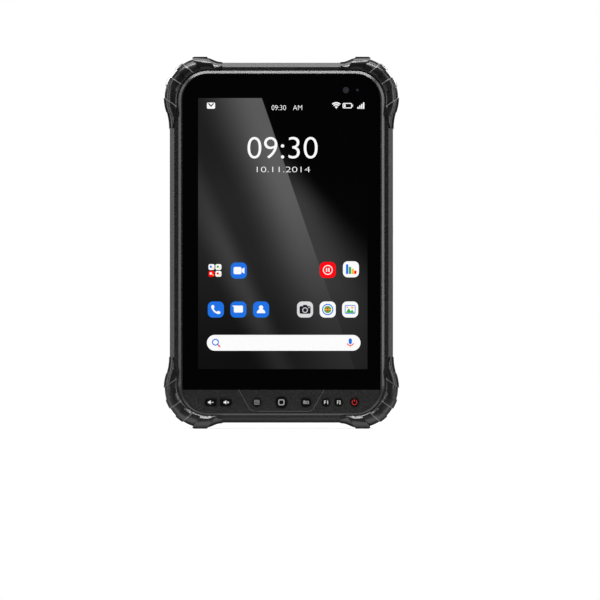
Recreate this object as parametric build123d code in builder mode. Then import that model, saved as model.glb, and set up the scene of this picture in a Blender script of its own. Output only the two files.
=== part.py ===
"""Rugged 8-inch data collector: a tablet for surveyors, with eight hard keys and corner bumpers.

Millimetres.  The object stands upright: +X is the user's right, +Z is up, and the screen faces -Y.
The origin is the middle of the footprint, between the lowest faces of the two lower bumpers.
Depths are given as levels: level 0 is the parting plane of the two housings, and a positive level
is that far in front of it, towards the user.
"""
from build123d import *
import os
from math import cos, radians, sin

os.makedirs("parts", exist_ok=True)

# ---- Housings ---------------------------------------------------------------------------------
body_w = 142.0            # width of the two housings, without the bumpers
body_h = 229.0            # height of the two housings
body_corner_r = 22.0
front_level = 10.2        # flat band round the rim
back_level = -10.4        # outer face of the rear housing
wall = 2.6                # side walls
floor_t = 2.0             # wall of the rear housing's back
front_bevel = 2.9
back_bevel = 2.9
seam = 0.25               # bevel on both sides of the parting line
pad_margin = 9.0          # raised bracket pad, beyond its holes
pad_proud = 0.8
rib_count, rib_pitch, rib_l, rib_w, rib_proud = 11, 6.0, 20.0, 2.0, 0.5
rib_x, rib_z = 46.0, 92.0
boss_r = 2.5

# ---- Corner bumpers ---------------------------------------------------------------------------
bumper_proud = 3.85       # how far the tread blocks stand out from the housing's sides
bumper_t = 24.4           # thickness over the tread blocks
tread_step = 0.6          # tread blocks above the plain rubber, on the outline
tread_face_step = 0.55    # the same, on the front and back faces
bumper_edge_r = 5.5       # rounding of the outer edges
inner_slope_w = 1.7       # the blocks slope down towards the rim: how wide, and how deep
inner_slope_t = 0.9
bumper_end_proud = 0.5    # thickness of the rubber where the bumper ends
bumper_reach_x = 33.4     # from the housing's side to the bumper's end along the top
bumper_reach_z = 41.7     # from the housing's top to the bumper's end along the side
bumper_gap = 0.1          # between the rubber and the housings
lobe_r = 20.0             # inner edge of the front lobe
back_lobe_r = 13.0        # inner edge of the back lobe, wider for its screw
lobe_centre_in = 24.4     # lobe's centre, inwards from the housing's side and top

# ---- Rim, display and key strip ---------------------------------------------------------------
rim_w = 130.8             # over the outside of the raised rim
rim_low, rim_high = 8.7, 227.5
rim_side = 2.5            # the rim's width at the sides
rim_top = 2.1
rim_bottom = 1.1
rim_corner_r = 18.7
rim_level = 11.4
rim_slope_w = 1.6         # the rim slopes down to the outside: how wide, and how deep
rim_slope_t = 0.85
pad_level = 10.4          # the glass and the key strip inside the rim
strip_top = 24.8          # the glass begins here
glass_t = 1.1
glass_gap = 0.1
adhesive_t = 0.4
adhesive_w = 3.2
plate_t = 3.0             # front wall, from the pad to the inside
active_w, active_h = 107.64, 172.22
active_x, active_z = 0.9, 124.1
lcd_side, lcd_top, lcd_bottom = 3.2, 1.8, 5.5   # borders of the panel round its active area
lcd_t = 1.5
backlight_t = 2.2
lcd_gap = 0.3

# ---- Keys -------------------------------------------------------------------------------------
key_z = 16.9
key_proud = 0.5
key_gap = 0.15
key_travel = 0.5
key_dish = 0.6            # shallow recess round each key, its width
key_dish_t = 0.3
key_flange = 0.7
key_flange_t = 0.8
key_stem_r = 0.8
key_corner_r = 2.2        # corners of the oblong key
# name: (x, width, height, shape)
keys = {
    "volume_down": (-45.0, 7.3, 4.6, "left half"),
    "volume_up": (-35.1, 7.3, 4.6, "right half"),
    "menu": (-15.6, 5.3, 5.3, "round"),
    "home": (0.0, 7.4, 7.4, "round"),
    "back": (15.65, 6.2, 5.5, "oblong"),
    "f1": (28.2, 5.0, 5.0, "round"),
    "f2": (36.4, 5.0, 5.0, "round"),
    "power": (46.45, 5.4, 5.4, "round"),
}
membrane_t = 0.6
switch_w, switch_t = 4.4, 2.3
switch_well_r = 1.0
switch_well = 1.6
key_board_w, key_board_h = 116.0, 9.0
key_board_t = 1.0
key_post_x = (-24.9, 22.2)
key_post_r = 1.8

# ---- Inside -----------------------------------------------------------------------------------
chassis_t = 1.2
chassis_edge_gap = 0.6
chassis_flange = 2.0
board_standoff = 3.0
board_t = 1.2
board_w, board_h = 116.0, 62.0
board_low = 138.0
battery_w, battery_h, battery_t = 106.0, 88.0, 8.4
battery_low = 46.0
flex_t = 0.2
seal_w, seal_t = 1.0, 0.8

# ---- Fasteners --------------------------------------------------------------------------------
screw_r = 1.2
screw_head_r = 2.2
screw_head_t = 1.5
screw_sink = 1.8          # depth of the head's hole
screw_l = 13.6
thread_gap = 0.02
clear_gap = 0.15
screw_side_in = 8.4       # side screws, inwards from the housing's side
screw_rows = (-74.0, -28.0, 28.0, 74.0)   # their heights from the housing's middle
top_screw_x, top_screw_in = 22.0, 9.4
bottom_screw_x, bottom_screw_in = 30.0, 5.7
small_screw_r = 0.9
small_head_r = 1.7
small_head_t = 0.9
small_screw_l = 3.2
bumper_screw_r = 1.4
bumper_head_r = 2.6
bumper_head_t = 0.8
bumper_screw_l = 8.0
bumper_screw_at = 17.0    # from the lobe's centre
insert_r = 2.8
insert_bore_r = 1.65      # tapping bore for M4
insert_l = 5.0
mount_dx, mount_dz = 38.05, 30.17   # four-hole pattern for a vehicle or pole bracket
mount_z = 158.0

# ---- Side doors, sockets and their fittings ---------------------------------------------------
door_low, door_h = 92.0, 40.0
door_near, door_far = 1.2, 7.2      # depth behind the parting plane
door_t = 1.5
door_knuckle_r = door_t / 2
door_gap = 0.2
door_relief = 1.7         # open space beyond the hinge, for the opened door
door_plug = 0.8           # depth of the door's inner plug
hinge_pin_r = 0.4
hinge_gap = 0.05
bay_depth = 6.4           # thickened side wall behind a door
bay_margin = 4.0
port_level = -4.2
usb_z, jack_z = 122.0, 104.0
usb_w, usb_t, usb_l = 9.0, 3.2, 10.0
usb_wall = 0.35
jack_r, jack_bore_r, jack_l = 2.5, 1.8, 11.0
port_board_w, port_board_h, port_board_t = 8.8, 36.0, 1.0
card_z, card_w, card_l, card_socket_t = 112.0, 15.0, 10.0, 2.0
card_t = 0.8
dock_w, dock_t, dock_l = 32.0, 5.0, 5.2
dock_level = -4.7
dock_pins, dock_pitch, dock_pin_r = 8, 3.6, 0.9

# ---- Cameras, antennas, speaker, motor --------------------------------------------------------
front_camera_x, sensor_x, camera_row_z = 41.05, 48.4, 215.3
front_camera_w, front_camera_t, front_lens_r = 5.6, 3.4, 2.0
sensor_w, sensor_h, sensor_t = 2.6, 2.2, 1.0
rear_camera_x, rear_camera_z = 44.0, 205.0
rear_camera_w, rear_camera_t, rear_lens_r = 14.0, 4.4, 3.4
ring_sleeve_r, ring_flange_r, ring_bore_r, ring_ledge_r = 5.95, 7.2, 5.1, 4.4
ring_proud = 0.6
window_t = 1.0
flash_x, flash_r = 30.0, 2.6
speaker_x, speaker_z, speaker_w, speaker_h = -33.0, 34.5, 34.0, 14.0
speaker_t = 6.6
mesh_t = 0.2
slot_count, slot_pitch, slot_w, slot_l = 7, 3.6, 1.4, 9.0
patch_w, patch_t, patch_z = 25.0, 4.0, 214.0
strip_x, strip_w = -40.0, 21.0   # wireless antenna, a foil strip
motor_x, motor_z, motor_level = -45.0, 204.0, -5.0
motor_r, motor_l = 2.5, 10.0
motor_shaft_r, motor_gap = 0.4, 0.05
weight_r, weight_l = 2.2, 4.0

# ---- Worked out from the above ----------------------------------------------------------------
overall_h = body_h + 2 * bumper_proud
body_low = bumper_proud
body_high = body_low + body_h
mid_z = overall_h / 2
half_w = body_w / 2
glass_back = pad_level - glass_t
ledge_level = glass_back - adhesive_t
plate_back = pad_level - plate_t
lcd_back = glass_back - lcd_t
backlight_back = lcd_back - backlight_t
chassis_back = backlight_back - chassis_t
board_front = chassis_back - board_standoff
board_back = board_front - board_t
floor_level = back_level + floor_t
lcd_w = active_w + 2 * lcd_side
lcd_h = active_h + lcd_top + lcd_bottom
lcd_z = active_z + (lcd_top - lcd_bottom) / 2
lcd_high = lcd_z + lcd_h / 2
key_flange_back = plate_back - 0.2 - key_flange_t
membrane_front = key_flange_back - key_travel - 0.4
switch_front = membrane_front - membrane_t
key_board_front = switch_front - switch_t
key_board_back = key_board_front - key_board_t
key_tip = switch_front - switch_well + key_travel + 0.5
board_mid_z = board_low + board_h / 2
battery_z = battery_low + battery_h / 2

side_screw_x = half_w - screw_side_in
screw_points = [(side * side_screw_x, mid_z + row) for side in (-1, 1) for row in screw_rows]
screw_points += [(side * top_screw_x, body_high - top_screw_in) for side in (-1, 1)]
screw_points += [(side * bottom_screw_x, body_low + bottom_screw_in) for side in (-1, 1)]
lobe_x = half_w - lobe_centre_in
lobe_z = body_high - lobe_centre_in
bumper_screw_x = lobe_x + bumper_screw_at * cos(radians(45))
bumper_screw_z = lobe_z + bumper_screw_at * sin(radians(45))
bumper_screw_points = [
    (sx * bumper_screw_x, mid_z + sz * (bumper_screw_z - mid_z)) for sx in (-1, 1) for sz in (-1, 1)
]
board_screw_points = [(x, z) for x in (-52, -16, 52) for z in (board_low + 5, board_low + board_h - 5)]
key_post_points = [(x, key_z) for x in key_post_x]
mount_points = [(sx * mount_dx / 2, mount_z + sz * mount_dz / 2) for sx in (-1, 1) for sz in (-1, 1)]


def level(depth):
    """A plane that faces the user, that far in front of the parting plane."""
    return Plane.XZ.offset(depth)


def body_outline(grow=0.0, mode=Mode.ADD):
    """The housings' outline, grown or shrunk."""
    with Locations((0, mid_z)):
        RectangleRounded(body_w + 2 * grow, body_h + 2 * grow, body_corner_r + grow, mode=mode)


def rim_inner(gap=0.0):
    """The area inside the raised rim."""
    low, high = rim_low + rim_bottom + gap, rim_high - rim_top - gap
    with Locations((0, (low + high) / 2)):
        RectangleRounded(rim_w - 2 * rim_side - 2 * gap, high - low, rim_corner_r - rim_side - gap)


def glass_outline(gap=0.0):
    """The glass: the area inside the rim, cut straight above the key strip."""
    rim_inner(gap)
    with Locations((0, strip_top / 2 + gap / 2)):
        Rectangle(rim_w, strip_top + gap, mode=Mode.SUBTRACT)


def key_outline(key, grow=0.0):
    """One key's outline, at its place on the strip."""
    x, width, height, shape = keys[key]
    if shape == "round":
        with Locations((x, key_z)):
            Circle(width / 2 + grow)
    elif shape == "oblong":
        with Locations((x, key_z)):
            RectangleRounded(width + 2 * grow, height + 2 * grow, key_corner_r + grow)
    else:
        # half a pill, with a square end towards its partner
        side = -1 if shape == "left half" else 1
        inner_x = x - side * (width / 2 + grow)
        with Locations((inner_x, key_z)):
            SlotOverall(2 * width + 4 * grow, height + 2 * grow)
        with Locations((inner_x - side * width, key_z)):
            Rectangle(2 * width, 2 * height, mode=Mode.SUBTRACT)


# ================================ Front housing ================================
with BuildPart() as front_housing:
    with BuildSketch(level(0)):
        body_outline()
    extrude(amount=front_level)
    chamfer(front_housing.faces().sort_by(Axis.Y)[0].edges(), front_bevel)
    chamfer(front_housing.faces().sort_by(Axis.Y)[-1].edges(), seam)
    # the raised rim, and the sunk pad inside it
    with BuildSketch(level(front_level)):
        with Locations((0, (rim_low + rim_high) / 2)):
            RectangleRounded(rim_w, rim_high - rim_low, rim_corner_r)
    extrude(amount=rim_level - front_level)
    rim_face = front_housing.faces().sort_by(Axis.Y)[0]
    chamfer(rim_face.edges(), rim_slope_w, rim_slope_t, reference=rim_face)
    with BuildSketch(level(pad_level)):
        rim_inner()
    extrude(amount=rim_level - pad_level, mode=Mode.SUBTRACT)
    # the inside
    with BuildSketch(level(0)):
        body_outline(-wall)
    extrude(amount=plate_back, mode=Mode.SUBTRACT)
    # the seat of the glass, the display's window, and the two small holes above it
    with BuildSketch(level(ledge_level)):
        glass_outline()
    extrude(amount=pad_level - ledge_level, mode=Mode.SUBTRACT)
    with BuildSketch(level(plate_back)):
        with Locations((active_x, lcd_z)):
            Rectangle(lcd_w + 2 * lcd_gap, lcd_h + 2 * lcd_gap)
        with Locations((front_camera_x, camera_row_z)):
            Rectangle(front_camera_w + 2 * lcd_gap, front_camera_w + 2 * lcd_gap)
        with Locations((sensor_x, camera_row_z)):
            Rectangle(sensor_w + 2 * lcd_gap, sensor_h + 2 * lcd_gap)
    extrude(amount=ledge_level - plate_back, mode=Mode.SUBTRACT)
    # the keys' dishes and holes
    for key in keys:
        with BuildSketch(level(pad_level - key_dish_t)):
            key_outline(key, key_gap + key_dish)
        extrude(amount=key_dish_t, mode=Mode.SUBTRACT)
        with BuildSketch(level(plate_back)):
            key_outline(key, key_gap)
        extrude(amount=plate_t, mode=Mode.SUBTRACT)
    # a fine raised line round the three middle keys
    with BuildSketch(level(pad_level)):
        with BuildLine():
            FilletPolyline((-27.1, strip_top), (-19.0, 11.2), (19.0, 11.2), (27.1, strip_top), radius=3)
        trace(line_width=0.35)
        with Locations((0, strip_top + 2)):
            Rectangle(rim_w, 4, mode=Mode.SUBTRACT)
    extrude(amount=0.15)
    # posts for the housing screws and the key board
    with BuildSketch(level(0)):
        with Locations(*screw_points):
            Circle(boss_r)
    extrude(amount=plate_back)
    with BuildSketch(level(key_board_front)):
        with Locations(*key_post_points):
            Circle(key_post_r)
    extrude(amount=plate_back - key_board_front)
    with BuildSketch(level(0)):
        with Locations(*screw_points):
            Circle(screw_r + thread_gap)
    extrude(amount=plate_back - 1.4, mode=Mode.SUBTRACT)
    with BuildSketch(level(key_board_front)):
        with Locations(*key_post_points):
            Circle(small_screw_r + thread_gap)
    extrude(amount=small_screw_l + 0.3, mode=Mode.SUBTRACT)
    # the seal's groove
    with BuildSketch(level(0)):
        body_outline(-(wall - seal_w) / 2)
        body_outline(-(wall + seal_w) / 2, mode=Mode.SUBTRACT)
    extrude(amount=seal_t, mode=Mode.SUBTRACT)
front_housing.part.label = "front_housing"
export_step(front_housing.part, "parts/front_housing.step")

# ================================ Rear housing ================================
bay_in = half_w - bay_depth
port_board_x = bay_in - 0.3 - port_board_w / 2
port_board_z = (usb_z + jack_z) / 2
port_posts = [(port_board_x - 2.4, port_board_z + side * (port_board_h / 2 - 2)) for side in (-1, 1)]
card_socket_x = -(bay_in - 0.3 - card_l / 2)
card_posts = [(card_socket_x - 3.0, card_z + side * 5.0) for side in (-1, 1)]
card_level = port_level - card_socket_t / 2

with BuildPart() as rear_housing:
    with BuildSketch(level(back_level)):
        body_outline()
    extrude(amount=-back_level)
    chamfer(rear_housing.faces().sort_by(Axis.Y)[-1].edges(), back_bevel)
    chamfer(rear_housing.faces().sort_by(Axis.Y)[0].edges(), seam)
    # the raised pad for a bracket, and ribs for the fingers
    with BuildSketch(level(back_level)):
        with Locations((0, mount_z)):
            RectangleRounded(mount_dx + 2 * pad_margin, mount_dz + 2 * pad_margin, pad_margin)
    extrude(amount=-pad_proud)
    with BuildSketch(level(back_level)):
        for side in (-1, 1):
            with Locations((side * rib_x, rib_z)):
                with GridLocations(0, rib_pitch, 1, rib_count):
                    SlotOverall(rib_l, rib_w)
    extrude(amount=-rib_proud)
    with BuildSketch(level(floor_level)):
        body_outline(-wall)
    extrude(amount=-floor_level, mode=Mode.SUBTRACT)
    # the thickened walls behind the two doors
    with BuildSketch(level(floor_level)):
        for side in (-1, 1):
            with Locations((side * (half_w - (wall + bay_depth) / 2), door_low + door_h / 2)):
                Rectangle(bay_depth - wall, door_h + 2 * bay_margin)
    extrude(amount=-floor_level)
    # posts: housing screws, bumper screws, threaded inserts, port board and card socket
    with BuildSketch(level(floor_level)):
        with Locations(*screw_points):
            Circle(boss_r + 0.5)
        with Locations(*bumper_screw_points):
            Circle(bumper_screw_r + 1.6)
        with Locations(*mount_points):
            Circle(insert_r + 1.4)
    extrude(amount=insert_l + 1.0 - floor_t)
    with BuildSketch(level(floor_level)):
        with Locations(*screw_points):
            Circle(boss_r)
    extrude(amount=-floor_level)
    with BuildSketch(level(floor_level)):
        with Locations(*bumper_screw_points):
            Circle(bumper_screw_r + 1.6)
    extrude(amount=bumper_screw_l - floor_t)
    with BuildSketch(level(floor_level)):
        with Locations(*port_posts):
            Circle(1.5)
    extrude(amount=port_level + usb_t / 2 - floor_level)
    with BuildSketch(level(floor_level)):
        with Locations(*card_posts):
            Circle(1.5)
    extrude(amount=card_level - floor_level)
    # the vibration motor's cradle
    with BuildSketch(level(floor_level)):
        with Locations((motor_x, motor_z)):
            Rectangle(motor_l - 2, 2 * motor_r + 2)
    extrude(amount=motor_level - floor_level)
    with BuildSketch(Plane.YZ.offset(motor_x - motor_l)):
        with Locations((-motor_level, motor_z)):
            Circle(motor_r + motor_gap)
    extrude(amount=2 * motor_l, mode=Mode.SUBTRACT)
    # holes from the back: screws, bumper screws, inserts
    with BuildSketch(level(back_level)):
        with Locations(*screw_points):
            Circle(screw_r + clear_gap)
    extrude(amount=-back_level, mode=Mode.SUBTRACT)
    with BuildSketch(level(back_level)):
        with Locations(*screw_points):
            Circle(screw_head_r + clear_gap)
    extrude(amount=screw_sink, mode=Mode.SUBTRACT)
    with BuildSketch(level(back_level)):
        with Locations(*bumper_screw_points):
            Circle(bumper_screw_r + thread_gap)
    extrude(amount=bumper_screw_l - 1.0, mode=Mode.SUBTRACT)
    with BuildSketch(level(back_level - pad_proud)):
        with Locations(*mount_points):
            Circle(insert_r)
    extrude(amount=insert_l, mode=Mode.SUBTRACT)
    # camera, flash lens and speaker slots
    with BuildSketch(level(back_level)):
        with Locations((rear_camera_x, rear_camera_z)):
            Circle(ring_sleeve_r + 0.02)
        with Locations((flash_x, rear_camera_z)):
            Circle(flash_r + 0.05)
        with Locations((speaker_x, speaker_z)):
            with GridLocations(slot_pitch, 0, slot_count, 1):
                SlotOverall(slot_l, slot_w, rotation=90)
    extrude(amount=floor_t, mode=Mode.SUBTRACT)
    # door pockets, with room beyond the hinge for the opened door
    for side in (-1, 1):
        with BuildSketch(Plane.XY.offset(door_low - door_relief)):
            with Locations((side * (half_w - door_t / 2), (door_near + door_far) / 2)):
                Rectangle(door_t + 2 * door_gap, door_far - door_near + 2 * door_gap)
        extrude(amount=door_h + door_relief + door_gap, mode=Mode.SUBTRACT)
        with BuildSketch(Plane.YZ.offset(side * (half_w - door_t - door_plug - door_gap))):
            with Locations(((door_near + door_far) / 2, door_low + door_h / 2 + 2)):
                Rectangle(door_far - door_near - 1.6 + 2 * door_gap, door_h - 10 + 2 * door_gap)
        extrude(amount=side * (door_plug + 2 * door_gap), mode=Mode.SUBTRACT)
        # the hinge pin's hole, through the wall beside the pocket
        with BuildSketch(Plane.XZ.offset(-(door_far + 1.6))):
            with Locations((side * (half_w - door_knuckle_r), door_low + door_knuckle_r)):
                Circle(hinge_pin_r)
        extrude(amount=door_far - door_near + 2.4, mode=Mode.SUBTRACT)
    # openings of the sockets and the card slot through the thick walls
    with BuildSketch(Plane.YZ.offset(bay_in)):
        with Locations((-port_level, usb_z)):
            RectangleRounded(usb_t + 0.2, usb_w + 0.2, usb_t / 2)
        with Locations((-port_level, jack_z)):
            Circle(jack_r + 0.1)
    extrude(amount=bay_depth, mode=Mode.SUBTRACT)
    with BuildSketch(Plane.YZ.offset(-bay_in)):
        with Locations((-port_level, card_z)):
            Rectangle(card_t + 0.6, card_w + 0.2)
    extrude(amount=-bay_depth, mode=Mode.SUBTRACT)
    # the dock connector's opening in the lower wall
    with BuildSketch(Plane.XY.offset(body_low)):
        with Locations((0, -dock_level)):
            RectangleRounded(dock_w + 0.2, dock_t + 0.2, 1.0)
    extrude(amount=wall, mode=Mode.SUBTRACT)
rear_housing.part.label = "rear_housing"
export_step(rear_housing.part, "parts/rear_housing.step")

with BuildPart() as housing_seal:
    with BuildSketch(level(0)):
        body_outline(-(wall - seal_w) / 2 - 0.05)
        body_outline(-(wall + seal_w) / 2 + 0.05, mode=Mode.SUBTRACT)
    extrude(amount=seal_t - 0.05)
housing_seal.part.label = "housing_seal"
export_step(housing_seal.part, "parts/housing_seal.step")

# ================================ Corner bumpers ================================
with BuildPart() as housing_form:
    with BuildSketch(level(back_level - bumper_gap)):
        body_outline(bumper_gap)
    extrude(amount=front_level - back_level + 2 * bumper_gap)
    chamfer(housing_form.faces().sort_by(Axis.Y)[0].edges(), front_bevel)
    chamfer(housing_form.faces().sort_by(Axis.Y)[-1].edges(), back_bevel)

bumper_end_x = half_w - bumper_reach_x
bumper_end_z = body_high - bumper_reach_z
corner_x = half_w - body_corner_r
corner_z = body_high - body_corner_r


def bumper_outline(proud):
    """Lines of the upper right bumper's outside: an arc with an S-shaped taper at each end."""
    radius = body_corner_r + proud
    top, side = corner_z + radius, corner_x + radius
    end_top, end_side = body_high + bumper_end_proud, half_w + bumper_end_proud
    ease_x = (corner_x - bumper_end_x) * 0.45
    ease_z = (corner_z - bumper_end_z) * 0.45
    Bezier(
        (bumper_end_x, end_top),
        (bumper_end_x + ease_x, end_top),
        (corner_x - ease_x, top),
        (corner_x, top),
    )
    CenterArc((corner_x, corner_z), radius, 0, 90)
    Bezier(
        (side, corner_z),
        (side, corner_z - ease_z),
        (end_side, bumper_end_z + ease_z),
        (end_side, bumper_end_z),
    )
    Polyline((end_side, bumper_end_z), (bumper_end_x, bumper_end_z), (bumper_end_x, end_top))


def lobe_outline(radius):
    """Lines of the area that a bumper leaves free on the front or on the back."""
    straight_z = lobe_z + radius
    Polyline(
        (lobe_x, straight_z),
        (bumper_end_x - 1, lobe_z + lobe_r),
        (bumper_end_x - 1, bumper_end_z - 1),
        (half_w - 1.2, bumper_end_z - 1),
        (lobe_x + lobe_r, lobe_z - 8.0),
        (lobe_x + radius, lobe_z),
    )
    CenterArc((lobe_x, lobe_z), radius, 0, 90)


# tread blocks: (angle where the block's upper edge starts, angle of its lower edge's start,
# slant of the upper edge, slant of the lower edge), degrees about the corner's centre
tread_blocks = [(56, 44, 41, 40), (31, 18, 34, 34), (2, -17, 35, 34)]


def tread_polygon(high_angle, low_angle, high_slant, low_slant):
    """A slanted strip across the bumper between two points of its outline."""
    outer, reach = body_corner_r + bumper_proud + 1.5, 26.0
    points = []
    for angle, slant in ((high_angle, high_slant), (low_angle, low_slant)):
        x = corner_x + outer * cos(radians(angle))
        z = corner_z + outer * sin(radians(angle))
        points.append((x, z))
        points.append((x - reach * cos(radians(slant)), z - reach * sin(radians(slant))))
    high_out, high_in, low_out, low_in = points
    Polygon(high_out, high_in, low_in, low_out, align=None)


with BuildPart() as tread:
    with BuildSketch(level(-bumper_t / 2)):
        with BuildLine():
            bumper_outline(bumper_proud)
        make_face()
    extrude(amount=bumper_t)
    curved = tread.edges().filter_by(GeomType.LINE, reverse=True)
    fillet(curved.group_by(Axis.Y)[0] + curved.group_by(Axis.Y)[-1], bumper_edge_r)
    with BuildSketch(level(-bumper_t / 2)):
        for block in tread_blocks:
            tread_polygon(*block)
    extrude(amount=bumper_t, mode=Mode.INTERSECT)

# the block that the object stands on has a flat foot
foot_in, foot_out = corner_x - 1.6, corner_x + 6.6
with BuildPart() as foot:
    with BuildSketch(level(-bumper_t / 2)):
        Polygon(
            (foot_in, overall_h),
            (foot_out, overall_h),
            (foot_out + 1.1, overall_h - 0.9),
            (foot_out - 7.6, overall_h - 12.4),
            (foot_in - 8.9, overall_h - 12.4),
            align=None,
        )
    extrude(amount=bumper_t)
    fillet(foot.edges().filter_by(Axis.X).group_by(Axis.Z)[-1], bumper_edge_r)

with BuildPart() as bumper:
    with BuildSketch(level(tread_face_step - bumper_t / 2)):
        with BuildLine():
            bumper_outline(bumper_proud - tread_step)
        make_face()
    extrude(amount=bumper_t - 2 * tread_face_step)
    curved = bumper.edges().filter_by(GeomType.LINE, reverse=True)
    fillet(curved.group_by(Axis.Y)[0] + curved.group_by(Axis.Y)[-1], bumper_edge_r)
    add(tread.part)
    add(foot.part)
    # free the front, and a larger part of the back
    with BuildSketch(level(0)):
        with BuildLine():
            lobe_outline(lobe_r)
        make_face()
    extrude(amount=bumper_t, mode=Mode.SUBTRACT)
    for depth, radius in ((inner_slope_t, lobe_r), (0, lobe_r + inner_slope_w)):
        with BuildSketch(level(bumper_t / 2 - depth)):
            with BuildLine():
                lobe_outline(radius)
            make_face()
    loft(mode=Mode.SUBTRACT)
    with BuildSketch(level(0)):
        with BuildLine():
            lobe_outline(back_lobe_r)
        make_face()
    extrude(amount=-bumper_t, mode=Mode.SUBTRACT)
    add(housing_form.part, mode=Mode.SUBTRACT)
    # the faces run down to the housing at both ends
    for facing in (-1, 1):
        low, high = facing * (bumper_t / 2 - 1.6), facing * (bumper_t / 2 + 0.2)
        with BuildSketch(Plane.XY.offset(body_high - 20)):
            Polygon((bumper_end_x - 1, low), (bumper_end_x + 9, high), (bumper_end_x - 1, high), align=None)
        extrude(amount=40, mode=Mode.SUBTRACT)
        with BuildSketch(Plane.YZ.offset(half_w - 20)):
            Polygon((low, bumper_end_z - 1), (high, bumper_end_z + 9), (high, bumper_end_z - 1), align=None)
        extrude(amount=40, mode=Mode.SUBTRACT)
    # the holding screw's hole in the back lobe
    with BuildSketch(level(-bumper_t)):
        with Locations((bumper_screw_x, bumper_screw_z)):
            Circle(bumper_screw_r + clear_gap)
    extrude(amount=bumper_t, mode=Mode.SUBTRACT)
    with BuildSketch(level(tread_face_step - bumper_t / 2 - 1)):
        with Locations((bumper_screw_x, bumper_screw_z)):
            Circle(bumper_head_r + clear_gap)
    extrude(amount=1 + bumper_head_t, mode=Mode.SUBTRACT)

across = Plane.XY.offset(mid_z)
for name, flips in {
    "bumper_top_right": [],
    "bumper_top_left": [Plane.YZ],
    "bumper_bottom_right": [across],
    "bumper_bottom_left": [Plane.YZ, across],
}.items():
    with BuildPart() as corner:
        add(bumper.part)
        for flip in flips:
            mirror(about=flip, mode=Mode.REPLACE)
    corner.part.label = name
    export_step(corner.part, f"parts/{name}.step")

# ================================ Display ================================
with BuildPart() as display_glass:
    with BuildSketch(level(glass_back)):
        glass_outline(glass_gap)
    extrude(amount=glass_t)
    chamfer(display_glass.faces().sort_by(Axis.Y)[0].edges(), 0.15)
display_glass.part.label = "display_glass"
export_step(display_glass.part, "parts/display_glass.step")

with BuildPart() as glass_adhesive:
    with BuildSketch(level(ledge_level)):
        glass_outline(glass_gap + 0.3)
        with Locations((active_x, lcd_z)):
            Rectangle(lcd_w + 2 * lcd_gap, lcd_h + 2 * lcd_gap, mode=Mode.SUBTRACT)
        with Locations((front_camera_x, camera_row_z)):
            Rectangle(front_camera_w + 2 * lcd_gap, front_camera_w + 2 * lcd_gap, mode=Mode.SUBTRACT)
        with Locations((sensor_x, camera_row_z)):
            Rectangle(sensor_w + 2 * lcd_gap, sensor_h + 2 * lcd_gap, mode=Mode.SUBTRACT)
    extrude(amount=adhesive_t)
glass_adhesive.part.label = "glass_adhesive"
export_step(glass_adhesive.part, "parts/glass_adhesive.step")

with BuildPart() as lcd_panel:
    with BuildSketch(level(lcd_back)):
        with Locations((active_x, lcd_z)):
            Rectangle(lcd_w, lcd_h)
    extrude(amount=lcd_t)
lcd_panel.part.label = "lcd_panel"
export_step(lcd_panel.part, "parts/lcd_panel.step")

with BuildPart() as lcd_backlight:
    with BuildSketch(level(backlight_back)):
        with Locations((active_x, lcd_z)):
            RectangleRounded(lcd_w, lcd_h, 1.0)
    extrude(amount=backlight_t)
lcd_backlight.part.label = "lcd_backlight"
export_step(lcd_backlight.part, "parts/lcd_backlight.step")

with BuildPart() as front_camera:
    with BuildSketch(level(glass_back - front_camera_t)):
        with Locations((front_camera_x, camera_row_z)):
            RectangleRounded(front_camera_w, front_camera_w, 0.6)
    extrude(amount=front_camera_t - 0.6)
    with BuildSketch(level(glass_back - 0.6)):
        with Locations((front_camera_x, camera_row_z)):
            Circle(front_lens_r)
    extrude(amount=0.6)
front_camera.part.label = "front_camera"
export_step(front_camera.part, "parts/front_camera.step")

with BuildPart() as light_sensor:
    with BuildSketch(level(glass_back - sensor_t)):
        with Locations((sensor_x, camera_row_z)):
            Rectangle(sensor_w, sensor_h)
    extrude(amount=sensor_t)
light_sensor.part.label = "light_sensor"
export_step(light_sensor.part, "parts/light_sensor.step")

# ================================ Keys ================================
for name, (x, width, height, shape) in keys.items():
    with BuildPart() as key_cap:
        with BuildSketch(level(plate_back - 0.2)):
            key_outline(name)
        extrude(amount=pad_level + key_proud - plate_back + 0.2)
        fillet(key_cap.faces().sort_by(Axis.Y)[0].edges(), 0.35)
        with BuildSketch(level(key_flange_back)):
            key_outline(name, key_flange)
        extrude(amount=key_flange_t)
        with BuildSketch(level(key_tip)):
            with Locations((x, key_z)):
                Circle(key_stem_r)
        extrude(amount=key_flange_back - key_tip)
    key_cap.part.label = f"key_{name}"
    export_step(key_cap.part, f"parts/key_{name}.step")

with BuildPart() as keypad_membrane:
    with BuildSketch(level(switch_front)):
        with Locations((0, key_z)):
            RectangleRounded(key_board_w - 1, key_board_h - 1, 2.0)
        with Locations(*[(key[0], key_z) for key in keys.values()]):
            Circle(key_stem_r + 0.3, mode=Mode.SUBTRACT)
        with Locations(*key_post_points):
            Circle(key_post_r + 0.3, mode=Mode.SUBTRACT)
    extrude(amount=membrane_t)
keypad_membrane.part.label = "keypad_membrane"
export_step(keypad_membrane.part, "parts/keypad_membrane.step")

with BuildPart() as key_switches:
    for x, width, height, shape in keys.values():
        with BuildSketch(level(key_board_front)):
            with Locations((x, key_z)):
                RectangleRounded(switch_w, switch_w, 0.5)
        extrude(amount=switch_t)
        with BuildSketch(level(switch_front - switch_well)):
            with Locations((x, key_z)):
                Circle(switch_well_r)
        extrude(amount=switch_well, mode=Mode.SUBTRACT)
key_switches.part.label = "key_switches"
export_step(key_switches.part, "parts/key_switches.step")

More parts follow.
